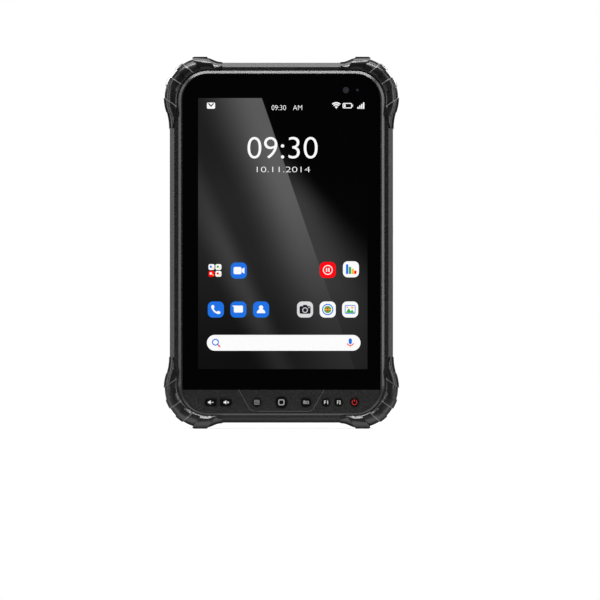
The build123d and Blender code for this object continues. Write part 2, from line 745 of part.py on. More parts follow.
with BuildPart() as key_board:
    with BuildSketch(level(key_board_back)):
        with Locations((0, key_z)):
            RectangleRounded(key_board_w, key_board_h, 1.5)
        with Locations(*key_post_points):
            Circle(small_screw_r + clear_gap, mode=Mode.SUBTRACT)
    extrude(amount=key_board_t)
key_board.part.label = "key_board"
export_step(key_board.part, "parts/key_board.step")

# ================================ Chassis, boards and battery ================================
chassis_half_w = half_w - wall - chassis_edge_gap
chassis_low = key_z + key_board_h / 2 + 8.0
chassis_high = lcd_high + 1.0
with BuildPart() as chassis_frame:
    with BuildSketch(level(backlight_back - chassis_t)):
        with Locations((0, (chassis_low + chassis_high) / 2)):
            RectangleRounded(2 * chassis_half_w, chassis_high - chassis_low, 6.0)
    extrude(amount=chassis_t)
    with BuildSketch(level(backlight_back)):
        for side in (-1, 1):
            with Locations((side * (chassis_half_w - chassis_flange / 2), (chassis_low + chassis_high) / 2)):
                Rectangle(chassis_flange, chassis_high - chassis_low - 16)
    extrude(amount=plate_back - backlight_back)
    with BuildSketch(level(board_front)):
        with Locations(*board_screw_points):
            Circle(2.0)
    extrude(amount=board_standoff)
    with BuildSketch(level(board_front)):
        with Locations(*board_screw_points):
            Circle(small_screw_r + thread_gap)
    extrude(amount=small_screw_l - board_t + 0.3, mode=Mode.SUBTRACT)
    with BuildSketch(level(board_front)):
        with Locations(*screw_points):
            Circle(boss_r + 0.3)
    extrude(amount=plate_back - board_front, mode=Mode.SUBTRACT)
chassis_frame.part.label = "chassis_frame"
export_step(chassis_frame.part, "parts/chassis_frame.step")

with BuildPart() as main_board:
    with BuildSketch(level(board_back)):
        with Locations((0, board_mid_z)):
            RectangleRounded(board_w, board_h, 2.0)
        with Locations(*board_screw_points):
            Circle(small_screw_r + clear_gap, mode=Mode.SUBTRACT)
    extrude(amount=board_t)
main_board.part.label = "main_board"
export_step(main_board.part, "parts/main_board.step")

# chips: (x, height above the board's lower edge, width, height, thickness)
front_chips = [(-30, 30, 14, 14, 1.4), (-10, 32, 12, 11, 1.0), (14, 30, 13, 11, 1.0), (34, 24, 9, 9, 0.9)]
back_chips = [(-38, 24, 10, 10, 1.0), (38, 28, 12, 12, 1.1), (0, 48, 16, 5, 1.6), (16, 8, 12, 4, 1.6)]
shield_t = 2.2
with BuildPart() as board_components:
    for x, up, width, height, thick in front_chips:
        with BuildSketch(level(board_front)):
            with Locations((x, board_low + up)):
                Rectangle(width, height)
        extrude(amount=thick)
    for x, up, width, height, thick in back_chips:
        with BuildSketch(level(board_back)):
            with Locations((x, board_low + up)):
                Rectangle(width, height)
        extrude(amount=-thick)
board_components.part.label = "board_components"
export_step(board_components.part, "parts/board_components.step")

with BuildPart() as board_shields:
    for x, up, width, height in [(-38, 24, 20, 24), (38, 28, 24, 26)]:
        with BuildSketch(level(board_back)):
            with Locations((x, board_low + up)):
                Rectangle(width, height)
        extrude(amount=-shield_t)
        with BuildSketch(level(board_back)):
            with Locations((x, board_low + up)):
                Rectangle(width - 0.6, height - 0.6)
        extrude(amount=-(shield_t - 0.3), mode=Mode.SUBTRACT)
board_shields.part.label = "board_shields"
export_step(board_shields.part, "parts/board_shields.step")

with BuildPart() as battery_pack:
    with BuildSketch(level(chassis_back - battery_t)):
        with Locations((0, battery_z)):
            RectangleRounded(battery_w, battery_h, 3.0)
    extrude(amount=battery_t)
battery_pack.part.label = "battery_pack"
export_step(battery_pack.part, "parts/battery_pack.step")

battery_high = battery_low + battery_h
with BuildPart() as battery_flex:
    with BuildSketch(level(board_front)):
        with Locations((4, (battery_high + board_low + 6) / 2)):
            Rectangle(12, board_low + 6 - battery_high)
    extrude(amount=flex_t)
battery_flex.part.label = "battery_flex"
export_step(battery_flex.part, "parts/battery_flex.step")

flex_x = battery_w / 2 + 2.6
with BuildPart() as keypad_flex:
    with BuildSketch(Plane.YZ.offset(flex_x - 1.4)):
        with BuildLine():
            Polyline(
                (-(key_board_back - flex_t / 2), key_z - 3),
                (-(key_board_back - flex_t / 2), key_z + 12),
                (-(board_front + flex_t / 2), key_z + 22),
                (-(board_front + flex_t / 2), board_low + 6),
            )
        trace(line_width=flex_t)
    extrude(amount=2.8)
keypad_flex.part.label = "keypad_flex"
export_step(keypad_flex.part, "parts/keypad_flex.step")

with BuildPart() as display_flex:
    with BuildSketch(Plane.YZ.offset(active_x - 9)):
        with BuildLine():
            FilletPolyline(
                (-(lcd_back - 0.8), lcd_high),
                (-(lcd_back - 0.8), chassis_high + 2.0),
                (-(board_front + flex_t / 2), chassis_high + 2.0),
                (-(board_front + flex_t / 2), board_low + board_h - 8),
                radius=1.2,
            )
        trace(line_width=flex_t)
    extrude(amount=18)
display_flex.part.label = "display_flex"
export_step(display_flex.part, "parts/display_flex.step")

# ================================ Fasteners ================================
with BuildPart() as housing_screws:
    head_top = back_level + screw_sink - screw_head_t
    with BuildSketch(level(head_top)):
        with Locations(*screw_points):
            Circle(screw_head_r)
    extrude(amount=screw_head_t)
    with BuildSketch(level(head_top)):
        with Locations(*screw_points):
            Circle(screw_r)
    extrude(amount=screw_l)
    with BuildSketch(level(head_top)):
        with Locations(*screw_points):
            RegularPolygon(1.1, 6)
    extrude(amount=0.9, mode=Mode.SUBTRACT)
housing_screws.part.label = "housing_screws"
export_step(housing_screws.part, "parts/housing_screws.step")

with BuildPart() as bumper_screws:
    head_face = tread_face_step - bumper_t / 2
    with BuildSketch(level(head_face)):
        with Locations(*bumper_screw_points):
            Circle(bumper_head_r)
    extrude(amount=bumper_head_t)
    with BuildSketch(level(head_face)):
        with Locations(*bumper_screw_points):
            Circle(bumper_screw_r)
    extrude(amount=bumper_screw_l)
    with BuildSketch(level(head_face)):
        with Locations(*bumper_screw_points):
            RegularPolygon(1.2, 6)
    extrude(amount=0.6, mode=Mode.SUBTRACT)
bumper_screws.part.label = "bumper_screws"
export_step(bumper_screws.part, "parts/bumper_screws.step")

with BuildPart() as board_screws:
    for points, face in ((board_screw_points, board_back), (key_post_points, key_board_back)):
        with BuildSketch(level(face - small_head_t)):
            with Locations(*points):
                Circle(small_head_r)
        extrude(amount=small_head_t)
        with BuildSketch(level(face)):
            with Locations(*points):
                Circle(small_screw_r)
        extrude(amount=small_screw_l)
board_screws.part.label = "board_screws"
export_step(board_screws.part, "parts/board_screws.step")

with BuildPart() as bracket_inserts:
    with BuildSketch(level(back_level - pad_proud)):
        with Locations(*mount_points):
            Circle(insert_r - 0.02)
            Circle(insert_bore_r, mode=Mode.SUBTRACT)
    extrude(amount=insert_l)
bracket_inserts.part.label = "bracket_inserts"
export_step(bracket_inserts.part, "parts/bracket_inserts.step")

# ================================ Side doors and what they cover ================================
hinge_x = half_w - door_knuckle_r
hinge_z = door_low + door_knuckle_r
for side, name in ((1, "port_door"), (-1, "card_door")):
    with BuildPart() as door:
        with BuildSketch(Plane.XZ.offset(-door_far)):
            with Locations((side * (half_w - door_t / 2), door_low + door_h / 2 + door_knuckle_r / 2)):
                Rectangle(door_t, door_h - door_knuckle_r)
            with Locations((side * hinge_x, hinge_z)):
                Circle(door_knuckle_r)
        extrude(amount=door_far - door_near)
        with BuildSketch(Plane.YZ.offset(side * (half_w - door_t))):
            with Locations(((door_near + door_far) / 2, door_low + door_h / 2 + 2)):
                Rectangle(door_far - door_near - 1.6, door_h - 10)
        extrude(amount=-side * door_plug)
        with BuildSketch(Plane.XZ.offset(-door_far)):
            with Locations((side * hinge_x, hinge_z)):
                Circle(hinge_pin_r + hinge_gap)
        extrude(amount=door_far - door_near, mode=Mode.SUBTRACT)
    door.part.label = name
    export_step(door.part, f"parts/{name}.step")

    with BuildPart() as pin:
        with BuildSketch(Plane.XZ.offset(-(door_far + 1.6))):
            with Locations((side * hinge_x, hinge_z)):
                Circle(hinge_pin_r - 0.01)
        extrude(amount=door_far - door_near + 2.4)
    pin.part.label = f"{name}_pin"
    export_step(pin.part, f"parts/{name}_pin.step")

with BuildPart() as port_board:
    with BuildSketch(level(port_level + usb_t / 2)):
        with Locations((port_board_x, port_board_z)):
            Rectangle(port_board_w, port_board_h)
        # the audio socket sits in a notch in the board's edge
        with Locations((port_board_x + port_board_w - 7.4, jack_z)):
            Rectangle(port_board_w, 2 * jack_r + 0.4, mode=Mode.SUBTRACT)
    extrude(amount=port_board_t)
port_board.part.label = "port_board"
export_step(port_board.part, "parts/port_board.step")

socket_out = half_w - door_t - door_plug - 2 * door_gap
with BuildPart() as usb_socket:
    with BuildSketch(Plane.YZ.offset(socket_out - usb_l)):
        with Locations((-port_level, usb_z)):
            RectangleRounded(usb_t, usb_w, usb_t / 2 - 0.05)
    extrude(amount=usb_l)
    with BuildSketch(Plane.YZ.offset(socket_out)):
        with Locations((-port_level, usb_z)):
            RectangleRounded(usb_t - 2 * usb_wall, usb_w - 2 * usb_wall, usb_t / 2 - usb_wall - 0.05)
            Rectangle(0.7, usb_w - 2.4, mode=Mode.SUBTRACT)
    extrude(amount=-(usb_l - 1.5), mode=Mode.SUBTRACT)
usb_socket.part.label = "usb_socket"
export_step(usb_socket.part, "parts/usb_socket.step")

with BuildPart() as audio_socket:
    with BuildSketch(Plane.YZ.offset(socket_out - jack_l)):
        with Locations((-port_level, jack_z)):
            Circle(jack_r)
    extrude(amount=jack_l)
    with BuildSketch(Plane.YZ.offset(socket_out)):
        with Locations((-port_level, jack_z)):
            Circle(jack_bore_r)
    extrude(amount=-(jack_l - 1.0), mode=Mode.SUBTRACT)
audio_socket.part.label = "audio_socket"
export_step(audio_socket.part, "parts/audio_socket.step")

with BuildPart() as card_socket:
    with BuildSketch(level(card_level)):
        with Locations((card_socket_x, card_z)):
            Rectangle(card_l, card_w + 1.6)
    extrude(amount=card_socket_t)
    with BuildSketch(Plane.YZ.offset(card_socket_x - card_l / 2)):
        with Locations((-port_level, card_z)):
            Rectangle(card_t + 0.2, card_w - 3.8)
    extrude(amount=card_l - 1.0, mode=Mode.SUBTRACT)
card_socket.part.label = "card_socket"
export_step(card_socket.part, "parts/card_socket.step")

with BuildPart() as memory_card:
    with BuildSketch(level(port_level - card_t / 2)):
        with Locations((card_socket_x - 2.5, card_z)):
            Rectangle(card_l, card_w - 4.0)
    extrude(amount=card_t)
memory_card.part.label = "memory_card"
export_step(memory_card.part, "parts/memory_card.step")

with BuildPart() as dock_connector:
    with BuildSketch(Plane.XY.offset(body_low)):
        with Locations((0, -dock_level)):
            RectangleRounded(dock_w, dock_t, 0.9)
    extrude(amount=dock_l)
    with BuildSketch(Plane.XY.offset(body_low + wall)):
        with Locations((0, -dock_level)):
            RectangleRounded(dock_w + 3, dock_t + 2, 0.9)
    extrude(amount=1.2)
    with BuildSketch(Plane.XY.offset(body_low)):
        with Locations((0, -dock_level)):
            with GridLocations(dock_pitch, 0, dock_pins, 1):
                Circle(dock_pin_r + 0.01)
    extrude(amount=dock_l, mode=Mode.SUBTRACT)
dock_connector.part.label = "dock_connector"
export_step(dock_connector.part, "parts/dock_connector.step")

with BuildPart() as dock_contacts:
    with BuildSketch(Plane.XY.offset(body_low - 0.15)):
        with Locations((0, -dock_level)):
            with GridLocations(dock_pitch, 0, dock_pins, 1):
                Circle(dock_pin_r)
    extrude(amount=dock_l + 0.8)
dock_contacts.part.label = "dock_contacts"
export_step(dock_contacts.part, "parts/dock_contacts.step")

# ================================ Cameras, antennas, speaker, motor ================================
with BuildPart() as rear_camera:
    with BuildSketch(level(floor_level)):
        with Locations((rear_camera_x, rear_camera_z)):
            RectangleRounded(rear_camera_w, rear_camera_w, 1.0)
    extrude(amount=rear_camera_t)
    with BuildSketch(level(floor_level - 0.8)):
        with Locations((rear_camera_x, rear_camera_z)):
            Circle(rear_lens_r)
            Circle(rear_lens_r - 1.2, mode=Mode.SUBTRACT)
    extrude(amount=0.8)
rear_camera.part.label = "rear_camera"
export_step(rear_camera.part, "parts/rear_camera.step")

window_level = back_level - 0.2
with BuildPart() as rear_camera_ring:
    with BuildSketch(level(back_level - ring_proud)):
        with Locations((rear_camera_x, rear_camera_z)):
            Circle(ring_flange_r)
    extrude(amount=ring_proud)
    with BuildSketch(level(back_level)):
        with Locations((rear_camera_x, rear_camera_z)):
            Circle(ring_sleeve_r)
    extrude(amount=floor_t)
    with BuildSketch(level(back_level - ring_proud)):
        with Locations((rear_camera_x, rear_camera_z)):
            Circle(ring_bore_r)
    extrude(amount=ring_proud - 0.2 + window_t, mode=Mode.SUBTRACT)
    with BuildSketch(level(back_level)):
        with Locations((rear_camera_x, rear_camera_z)):
            Circle(ring_ledge_r)
    extrude(amount=floor_t, mode=Mode.SUBTRACT)
    fillet(rear_camera_ring.edges().group_by(Axis.Y)[-1].sort_by(SortBy.RADIUS)[-1], 0.3)
rear_camera_ring.part.label = "rear_camera_ring"
export_step(rear_camera_ring.part, "parts/rear_camera_ring.step")

with BuildPart() as rear_camera_window:
    with BuildSketch(level(window_level)):
        with Locations((rear_camera_x, rear_camera_z)):
            Circle(ring_bore_r - 0.05)
    extrude(amount=window_t - 0.02)
rear_camera_window.part.label = "rear_camera_window"
export_step(rear_camera_window.part, "parts/rear_camera_window.step")

with BuildPart() as flash_lens:
    with BuildSketch(level(back_level - 0.1)):
        with Locations((flash_x, rear_camera_z)):
            Circle(flash_r)
    extrude(amount=floor_t + 0.1)
    with BuildSketch(level(floor_level)):
        with Locations((flash_x, rear_camera_z)):
            Circle(flash_r + 0.8)
    extrude(amount=0.8)
flash_lens.part.label = "flash_lens"
export_step(flash_lens.part, "parts/flash_lens.step")

flash_board_in = rear_camera_x - rear_camera_w / 2
with BuildPart() as flash_led:
    with BuildSketch(level(floor_level + 0.8)):
        with Locations((flash_x, rear_camera_z)):
            Rectangle(3.0, 3.0)
    extrude(amount=0.8)
    with BuildSketch(level(floor_level + 1.6)):
        with Locations(((flash_x - 4 + flash_board_in) / 2, rear_camera_z)):
            Rectangle(flash_board_in - flash_x + 4, 8.0)
    extrude(amount=0.8)
flash_led.part.label = "flash_led"
export_step(flash_led.part, "parts/flash_led.step")

with BuildPart() as speaker_mesh:
    with BuildSketch(level(floor_level)):
        with Locations((speaker_x, speaker_z)):
            RectangleRounded(speaker_w - 4, speaker_h - 2, 1.0)
    extrude(amount=mesh_t)
speaker_mesh.part.label = "speaker_mesh"
export_step(speaker_mesh.part, "parts/speaker_mesh.step")

with BuildPart() as speaker_box:
    with BuildSketch(level(floor_level + mesh_t)):
        with Locations((speaker_x, speaker_z)):
            RectangleRounded(speaker_w, speaker_h, 2.0)
    extrude(amount=speaker_t)
speaker_box.part.label = "speaker_box"
export_step(speaker_box.part, "parts/speaker_box.step")

with BuildPart() as gnss_antenna:
    with BuildSketch(level(floor_level)):
        with Locations((0, patch_z)):
            RectangleRounded(patch_w, patch_w, 1.0)
    extrude(amount=patch_t)
gnss_antenna.part.label = "gnss_antenna"
export_step(gnss_antenna.part, "parts/gnss_antenna.step")

with BuildPart() as wifi_antenna:
    with BuildSketch(level(floor_level)):
        with Locations((strip_x, patch_z + 4)):
            Rectangle(strip_w, 8.0)
    extrude(amount=0.4)
wifi_antenna.part.label = "wifi_antenna"
export_step(wifi_antenna.part, "parts/wifi_antenna.step")

with BuildPart() as vibration_motor:
    with BuildSketch(Plane.YZ.offset(motor_x - motor_l / 2)):
        with Locations((-motor_level, motor_z)):
            Circle(motor_r)
            Circle(motor_shaft_r + motor_gap, mode=Mode.SUBTRACT)
    extrude(amount=motor_l)
vibration_motor.part.label = "vibration_motor"
export_step(vibration_motor.part, "parts/vibration_motor.step")

weight_x = motor_x + motor_l / 2 + 0.4
with BuildPart() as motor_rotor:
    with BuildSketch(Plane.YZ.offset(motor_x - motor_l / 2 + 1)):
        with Locations((-motor_level, motor_z)):
            Circle(motor_shaft_r)
    extrude(amount=weight_x + weight_l - motor_x + motor_l / 2 - 1)
    with BuildSketch(Plane.YZ.offset(weight_x)):
        with Locations((-motor_level, motor_z)):
            Circle(weight_r)
            with Locations((0, weight_r / 2 + motor_shaft_r)):
                Rectangle(3 * weight_r, weight_r, mode=Mode.SUBTRACT)
    extrude(amount=weight_l)
motor_rotor.part.label = "motor_rotor"
export_step(motor_rotor.part, "parts/motor_rotor.step")
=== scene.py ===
# %% [markdown]
# # A rugged data collector
# This lesson finishes an 8-inch field tablet.  The CAD model gives every housing, key and screw its
# true shape and place, in metres, and stays as it is.  What is added here is what an eye looks for:
# grain in the plastic and the rubber, signs on the keys, a lit screen, and small repeated details.

# %% Load the frame
import math

import bmesh
import bpy
from mathutils import Matrix, Vector


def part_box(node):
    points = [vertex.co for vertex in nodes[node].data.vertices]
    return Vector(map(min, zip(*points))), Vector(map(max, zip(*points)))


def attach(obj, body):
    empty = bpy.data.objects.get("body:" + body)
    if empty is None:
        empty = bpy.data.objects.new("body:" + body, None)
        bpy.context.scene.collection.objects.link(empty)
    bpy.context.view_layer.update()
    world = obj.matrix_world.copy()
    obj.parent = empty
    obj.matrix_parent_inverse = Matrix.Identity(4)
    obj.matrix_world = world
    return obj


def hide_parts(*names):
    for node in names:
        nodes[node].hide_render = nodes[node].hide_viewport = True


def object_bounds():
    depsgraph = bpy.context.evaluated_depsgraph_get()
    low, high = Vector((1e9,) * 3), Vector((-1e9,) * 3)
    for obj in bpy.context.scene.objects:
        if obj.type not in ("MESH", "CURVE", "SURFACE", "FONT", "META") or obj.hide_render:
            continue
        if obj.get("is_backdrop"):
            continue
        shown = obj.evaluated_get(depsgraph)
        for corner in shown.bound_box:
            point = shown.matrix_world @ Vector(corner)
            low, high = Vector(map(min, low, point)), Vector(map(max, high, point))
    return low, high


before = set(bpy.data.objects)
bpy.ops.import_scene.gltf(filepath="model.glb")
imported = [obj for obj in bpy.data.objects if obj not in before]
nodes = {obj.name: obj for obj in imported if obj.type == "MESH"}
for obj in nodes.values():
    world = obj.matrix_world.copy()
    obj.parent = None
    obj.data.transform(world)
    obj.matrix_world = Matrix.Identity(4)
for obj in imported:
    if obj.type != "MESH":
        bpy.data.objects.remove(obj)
cad_low, cad_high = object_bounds()
MM = 0.001
print("overall size, mm:", [round(v / MM, 1) for v in cad_high - cad_low])

# %% [markdown]
# ## A small language for shader maths
# A finish is easier to read as a formula than as a web of nodes.  `Field` wraps one output socket:
# adding or multiplying two fields adds the Math node that does it.  `Finish` owns one material.  Its
# `node` method adds any other node, and `feed` links fields to the shader.  Numbers that are the same
# all over the surface are set on the shader itself.

# %% Field: a value that varies
class Field:
    """A value that varies over a surface, with arithmetic."""

    def __init__(self, finish, socket):
        self.finish = finish
        self.socket = socket

    def math(self, operation, *values):
        return self.finish.node("ShaderNodeMath", {"operation": operation}, dict(enumerate(values)))

    def __add__(self, other):
        return self.math("ADD", self, other)

    __radd__ = __add__

    def __sub__(self, other):
        return self.math("SUBTRACT", self, other)

    def __rsub__(self, other):
        return self.math("SUBTRACT", other, self)

    def __mul__(self, other):
        return self.math("MULTIPLY", self, other)

    __rmul__ = __mul__

    def __truediv__(self, other):
        return self.math("DIVIDE", self, other)

    def __pow__(self, other):
        return self.math("POWER", self, other)

    def __abs__(self):
        return self.math("ABSOLUTE", self)

    def over(self, edge):
        """1 where the field is above the edge, else 0."""
        return self.math("GREATER_THAN", self, edge)

    def ramp(self, start, end, low=0.0, high=1.0):
        """A smooth step from low at start to high at end."""
        inputs = {"Value": self, "From Min": start, "From Max": end, "To Min": low, "To Max": high}
        return self.finish.node("ShaderNodeMapRange", {"interpolation_type": "SMOOTHSTEP"}, inputs)

    def smaller(self, other):
        return self.math("MINIMUM", self, other)

    def larger(self, other):
        return self.math("MAXIMUM", self, other)

    def sine(self):
        return self.math("SINE", self)

    def bounce(self, reach):
        """Rises from 0 to reach and falls back, again and again."""
        return self.math("PINGPONG", self, reach)


# %% Finish: one material
class Finish:
    """One procedural material."""

    def __init__(self, name, **constants):
        self.material = bpy.data.materials.new(name)
        self.material.use_nodes = True
        self.tree = self.material.node_tree
        self.shader = self.tree.nodes["Principled BSDF"]
        for socket, value in constants.items():
            self.shader.inputs[socket.replace("_", " ")].default_value = value

    def link(self, value, socket):
        if isinstance(value, Field):
            self.tree.links.new(value.socket, socket)
        else:
            socket.default_value = value

    def node(self, kind, settings, inputs, output=0):
        """Any node: its settings are set first, then the values or links of its sockets."""
        made = self.tree.nodes.new(kind)
        for name, value in settings.items():
            setattr(made, name, value)
        for socket, value in inputs.items():
            self.link(value, made.inputs[socket])
        return Field(self, made.outputs[output])

    def place(self):
        """The point on the object, in metres."""
        return self.node("ShaderNodeTexCoord", {}, {}, "Object")

    def axes(self):
        """The point's x, y and z as three fields, in millimetres."""
        split = self.tree.nodes.new("ShaderNodeSeparateXYZ")
        self.link(self.place(), split.inputs[0])
        return [Field(self, socket) * (1 / MM) for socket in split.outputs]

    def noise(self, size_mm, detail=2.0, rough=0.5):
        inputs = {"Vector": self.place(), "Scale": 1 / (size_mm * MM)}
        inputs.update({"Detail": detail, "Roughness": rough})
        return self.node("ShaderNodeTexNoise", {}, inputs, "Fac")

    def cells(self, size_mm, feature="F1"):
        inputs = {"Vector": self.place(), "Scale": 1 / (size_mm * MM)}
        return self.node("ShaderNodeTexVoronoi", {"feature": feature}, inputs, "Distance")

    def blend(self, factor, low, high):
        """A colour that runs from low to high."""
        inputs = {0: factor, 6: low, 7: high}
        return self.node("ShaderNodeMix", {"data_type": "RGBA"}, inputs, 2)

    def bump(self, height, depth_mm, strength):
        inputs = {"Height": height, "Distance": depth_mm * MM, "Strength": strength}
        return self.node("ShaderNodeBump", {}, inputs, "Normal")

    def feed(self, **fields):
        for name, field in fields.items():
            self.link(field, self.shader.inputs[name.replace("_", " ")])
        return self.material


# %% Colours, and dressing a node
def grey(value):
    return (value, value, value, 1.0)


def dimmed(colour, share):
    return tuple(v * share for v in colour[:3]) + (1,)


dressed = []


def dress(node, material):
    """Give a CAD node its finish."""
    mesh = nodes[node].data
    mesh.materials.clear()
    mesh.materials.append(material)
    dressed.append(node)


# %% [markdown]
# ## The room
# The object stands on a pale floor.  One strip of light hangs over it and one in front of it, a tall
# strip at each side rakes the front, another draws the outline, and two squares behind light the back.
# Those lights are what draws the shape: the bevels turn towards them and shine, and everything that
# faces the camera squarely stays dark, as black plastic and glass do in a studio.  The world and the
# floor are bright to the camera, and almost dark to the object, but a low band of the floor in front
# glows in reflections, because the lower bevels have nothing else to mirror.

# %% Camera
VIEW_W = 0.381                 # width of the picture at the object
VIEW_CENTRE = Vector((11.84 * MM, 0, 81.9 * MM))
DISTANCE = 2.6
camera_data = bpy.data.cameras.new("camera")
camera_data.sensor_width = 36
camera_data.lens = camera_data.sensor_width * (DISTANCE - abs(cad_low.y)) / VIEW_W
camera = bpy.data.objects.new("camera", camera_data)
camera.location = VIEW_CENTRE - Vector((0, DISTANCE, 0))
camera.rotation_euler = (math.radians(90), 0, 0)
bpy.context.scene.collection.objects.link(camera)
bpy.context.scene.camera = camera
bpy.context.scene.view_settings.view_transform = "Standard"
print("lens, mm:", round(camera_data.lens, 1))

# %% World
REFLECTED = 0.03               # brightness of the world and the floor in reflections
world = bpy.data.worlds.new("studio")
world.use_nodes = True
bpy.context.scene.world = world
room = world.node_tree
backdrop = room.nodes["Background"]
backdrop.inputs["Color"].default_value = grey(1.0)
path = room.nodes.new("ShaderNodeLightPath")
glow = room.nodes.new("ShaderNodeMapRange")
glow.inputs["To Min"].default_value = REFLECTED
glow.inputs["To Max"].default_value = 1.0
room.links.new(path.outputs["Is Camera Ray"], glow.inputs["Value"])
room.links.new(glow.outputs["Result"], backdrop.inputs["Strength"])
print("world strength:", glow.inputs["To Max"].default_value, "seen,", REFLECTED, "reflected")


# %% Lights
def area_light(name, place, target, size, power):
    """A soft rectangular light that points at a target; it isn't seen itself."""
    data = bpy.data.lights.new(name, "AREA")
    data.shape = "RECTANGLE"
    data.size, data.size_y = size
    data.energy = power
    lamp = bpy.data.objects.new(name, data)
    lamp.location = place
    lamp.rotation_euler = (Vector(target) - Vector(place)).to_track_quat("-Z", "Y").to_euler()
    lamp.visible_camera = False
    bpy.context.scene.collection.objects.link(lamp)


middle = (0, 0, cad_high.z / 2)
area_light("top_light", (0, -0.12, 1.2), middle, (1.3, 0.42), 12)
area_light("front_top_light", (0, -0.72, 1.12), middle, (1.3, 0.24), 27)
for hand, side, side_power, edge_power in (("left", -1, 4.2, 3.6), ("right", 1, 6.0, 2.8)):
    area_light(f"{hand}_side_light", (side * 1.0, -0.66, 0.3), middle, (0.26, 1.3), side_power)
    area_light(f"{hand}_edge_light", (side * 1.2, -0.12, 0.3), middle, (0.3, 1.0), edge_power)
    area_light(f"{hand}_back_light", (side * 1.05, 1.0, 0.95), middle, (0.7, 0.7), 24)
print("lights:", len(bpy.data.lights))

# %% Floor
FLOOR_HALF = 0.62
FLOOR_SEEN, BAND_GLOW = 0.78, 1.6
floor_mesh = bpy.data.meshes.new("floor")
floor_mesh.from_pydata(
    [(sx * FLOOR_HALF, sy * FLOOR_HALF, 0) for sx, sy in ((-1, -1), (1, -1), (1, 1), (-1, 1))],
    [], [(0, 1, 2, 3)],
)
floor = bpy.data.objects.new("floor", floor_mesh)
bpy.context.scene.collection.objects.link(floor)
floor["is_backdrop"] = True
paper = Finish("floor_paper", Roughness=0.9, Specular_IOR_Level=0.1, Emission_Strength=1.0)
seen = paper.node("ShaderNodeLightPath", {}, {}, "Is Camera Ray")
ahead = paper.axes()[1] * -1
band = ahead.ramp(8, 14) * (ahead.ramp(24, 40) * -1 + 1)
in_reflections = paper.blend(band, grey(REFLECTED), grey(BAND_GLOW))
floor_mesh.materials.append(paper.feed(
    Base_Color=paper.blend(paper.noise(60), grey(0.16), grey(0.18)),
    Emission_Color=paper.blend(seen, in_reflections, grey(FLOOR_SEEN)),
))
print("floor, m:", 2 * FLOOR_HALF)

# %% [markdown]
# ## Moulded housings
# The two housings are black polycarbonate from a spark-eroded mould: a fine even grain that breaks up
# every highlight, with tiny lighter speckles.  Noise a third of a millimetre across lifts the surface
# by a few hundredths, and a slow noise changes the sheen as handling does.

# %% Housing plastic
def moulded_plastic(name, dark, light, grain_mm, sheen):
    finish = Finish(name, Specular_IOR_Level=0.5)
    grain = finish.noise(grain_mm, 3.0, 0.6)
    handling = finish.noise(38.0, 2.0)
    speckle = finish.noise(grain_mm * 2.4, 2.0, 0.7).ramp(0.45, 0.70)
    return finish.feed(
        Base_Color=finish.blend(speckle * 0.75 + grain * 0.25, grey(dark), grey(light)),
        Roughness=handling * 0.12 + grain * 0.10 + sheen,
        Normal=finish.bump(grain, 0.025, 0.5),
    )


housing_plastic = moulded_plastic("housing_plastic", 0.003, 0.018, 0.35, 0.14)
back_plastic = moulded_plastic("back_plastic", 0.004, 0.012, 0.5, 0.24)
dress("front_housing", housing_plastic)
dress("rear_housing", back_plastic)
print("housings dressed:", len(dressed))

# %% [markdown]
# ## Rubber corners
# The bumpers are soft moulded rubber with a leather-like grain.  Their CAD shapes are right, but a real
# mould leaves no knife edges: each copy here is merged into one skin and gets a narrow bevel along the
# edges of its tread blocks, and that bevel is what catches the light as a thin bright line.  The upper
# edges of the tread blocks also get a painted highlight: thin paler grey lines in the base colour.

# %% Rubber with painted highlights on its tread edges
MID_Z = 118.35                 # halfway up the object
CORNER_OUT, CORNER_UP = 49.0, 92.5     # centre of a corner's rounding, from the middle
TREAD_REACH = 27.35            # from there to just past the rubber
TREAD_EDGES = [                # a point of each tread block's upper edge, from the middle, and its slant
    (CORNER_OUT + TREAD_REACH * math.cos(math.radians(angle)),
     CORNER_UP + TREAD_REACH * math.sin(math.radians(angle)), slant)
    for angle, slant in ((56, 41), (31, 34), (2, 35))
]


def bumper_rubber():
    finish = Finish("bumper_rubber", Specular_IOR_Level=0.45)
    leather = finish.cells(0.75, "SMOOTH_F1")
    fine = finish.noise(0.25, 2.0)
    dust = finish.noise(9.0, 4.0, 0.6).ramp(0.45, 0.8)
    x, _, z = finish.axes()
    out, up = abs(x), abs(z - MID_Z)
    # Thin paler grey lines along the upper edges of the tread blocks: a painted highlight in the base
    # colour.
    painted_edge_highlight = None
    for edge_out, edge_up, slant in TREAD_EDGES:
        lean = math.radians(slant)
        off = abs((out - edge_out) * math.sin(lean) - (up - edge_up) * math.cos(lean))
        line = off.ramp(0.12, 0.36, 1, 0)
        painted_edge_highlight = painted_edge_highlight.larger(line) if painted_edge_highlight else line
    rubber_tone = finish.blend(dust * 0.6 + fine * 0.4, grey(0.002), grey(0.009))
    return finish.feed(
        Base_Color=finish.blend(painted_edge_highlight * (fine * 0.6 + 0.5), rubber_tone, grey(0.14)),
        Roughness=dust * 0.10 + fine * 0.08 + 0.21,
        Normal=finish.bump(leather * 0.8 + fine * 0.5, 0.02, 0.28),
    )


# %% Bumpers with softened edges
def softened_copy(node, name, bevel_mm, angle_deg=28):
    """A merged copy of a CAD node, its sharp edges bevelled."""
    mesh = nodes[node].data.copy()
    piece = bpy.data.objects.new(name, mesh)
    bpy.context.scene.collection.objects.link(piece)
    shape = bmesh.new()
    shape.from_mesh(mesh)
    bmesh.ops.remove_doubles(shape, verts=shape.verts, dist=0.004 * MM)
    bmesh.ops.dissolve_limit(
        shape, angle_limit=math.radians(0.6), verts=shape.verts, edges=shape.edges
    )
    shape.to_mesh(mesh)
    shape.free()
    soften = piece.modifiers.new("soften", "BEVEL")
    soften.limit_method = "ANGLE"
    soften.angle_limit = math.radians(angle_deg)
    soften.width = bevel_mm * MM
    soften.segments = 2
    soften.use_clamp_overlap = True
    soften.harden_normals = True
    return piece


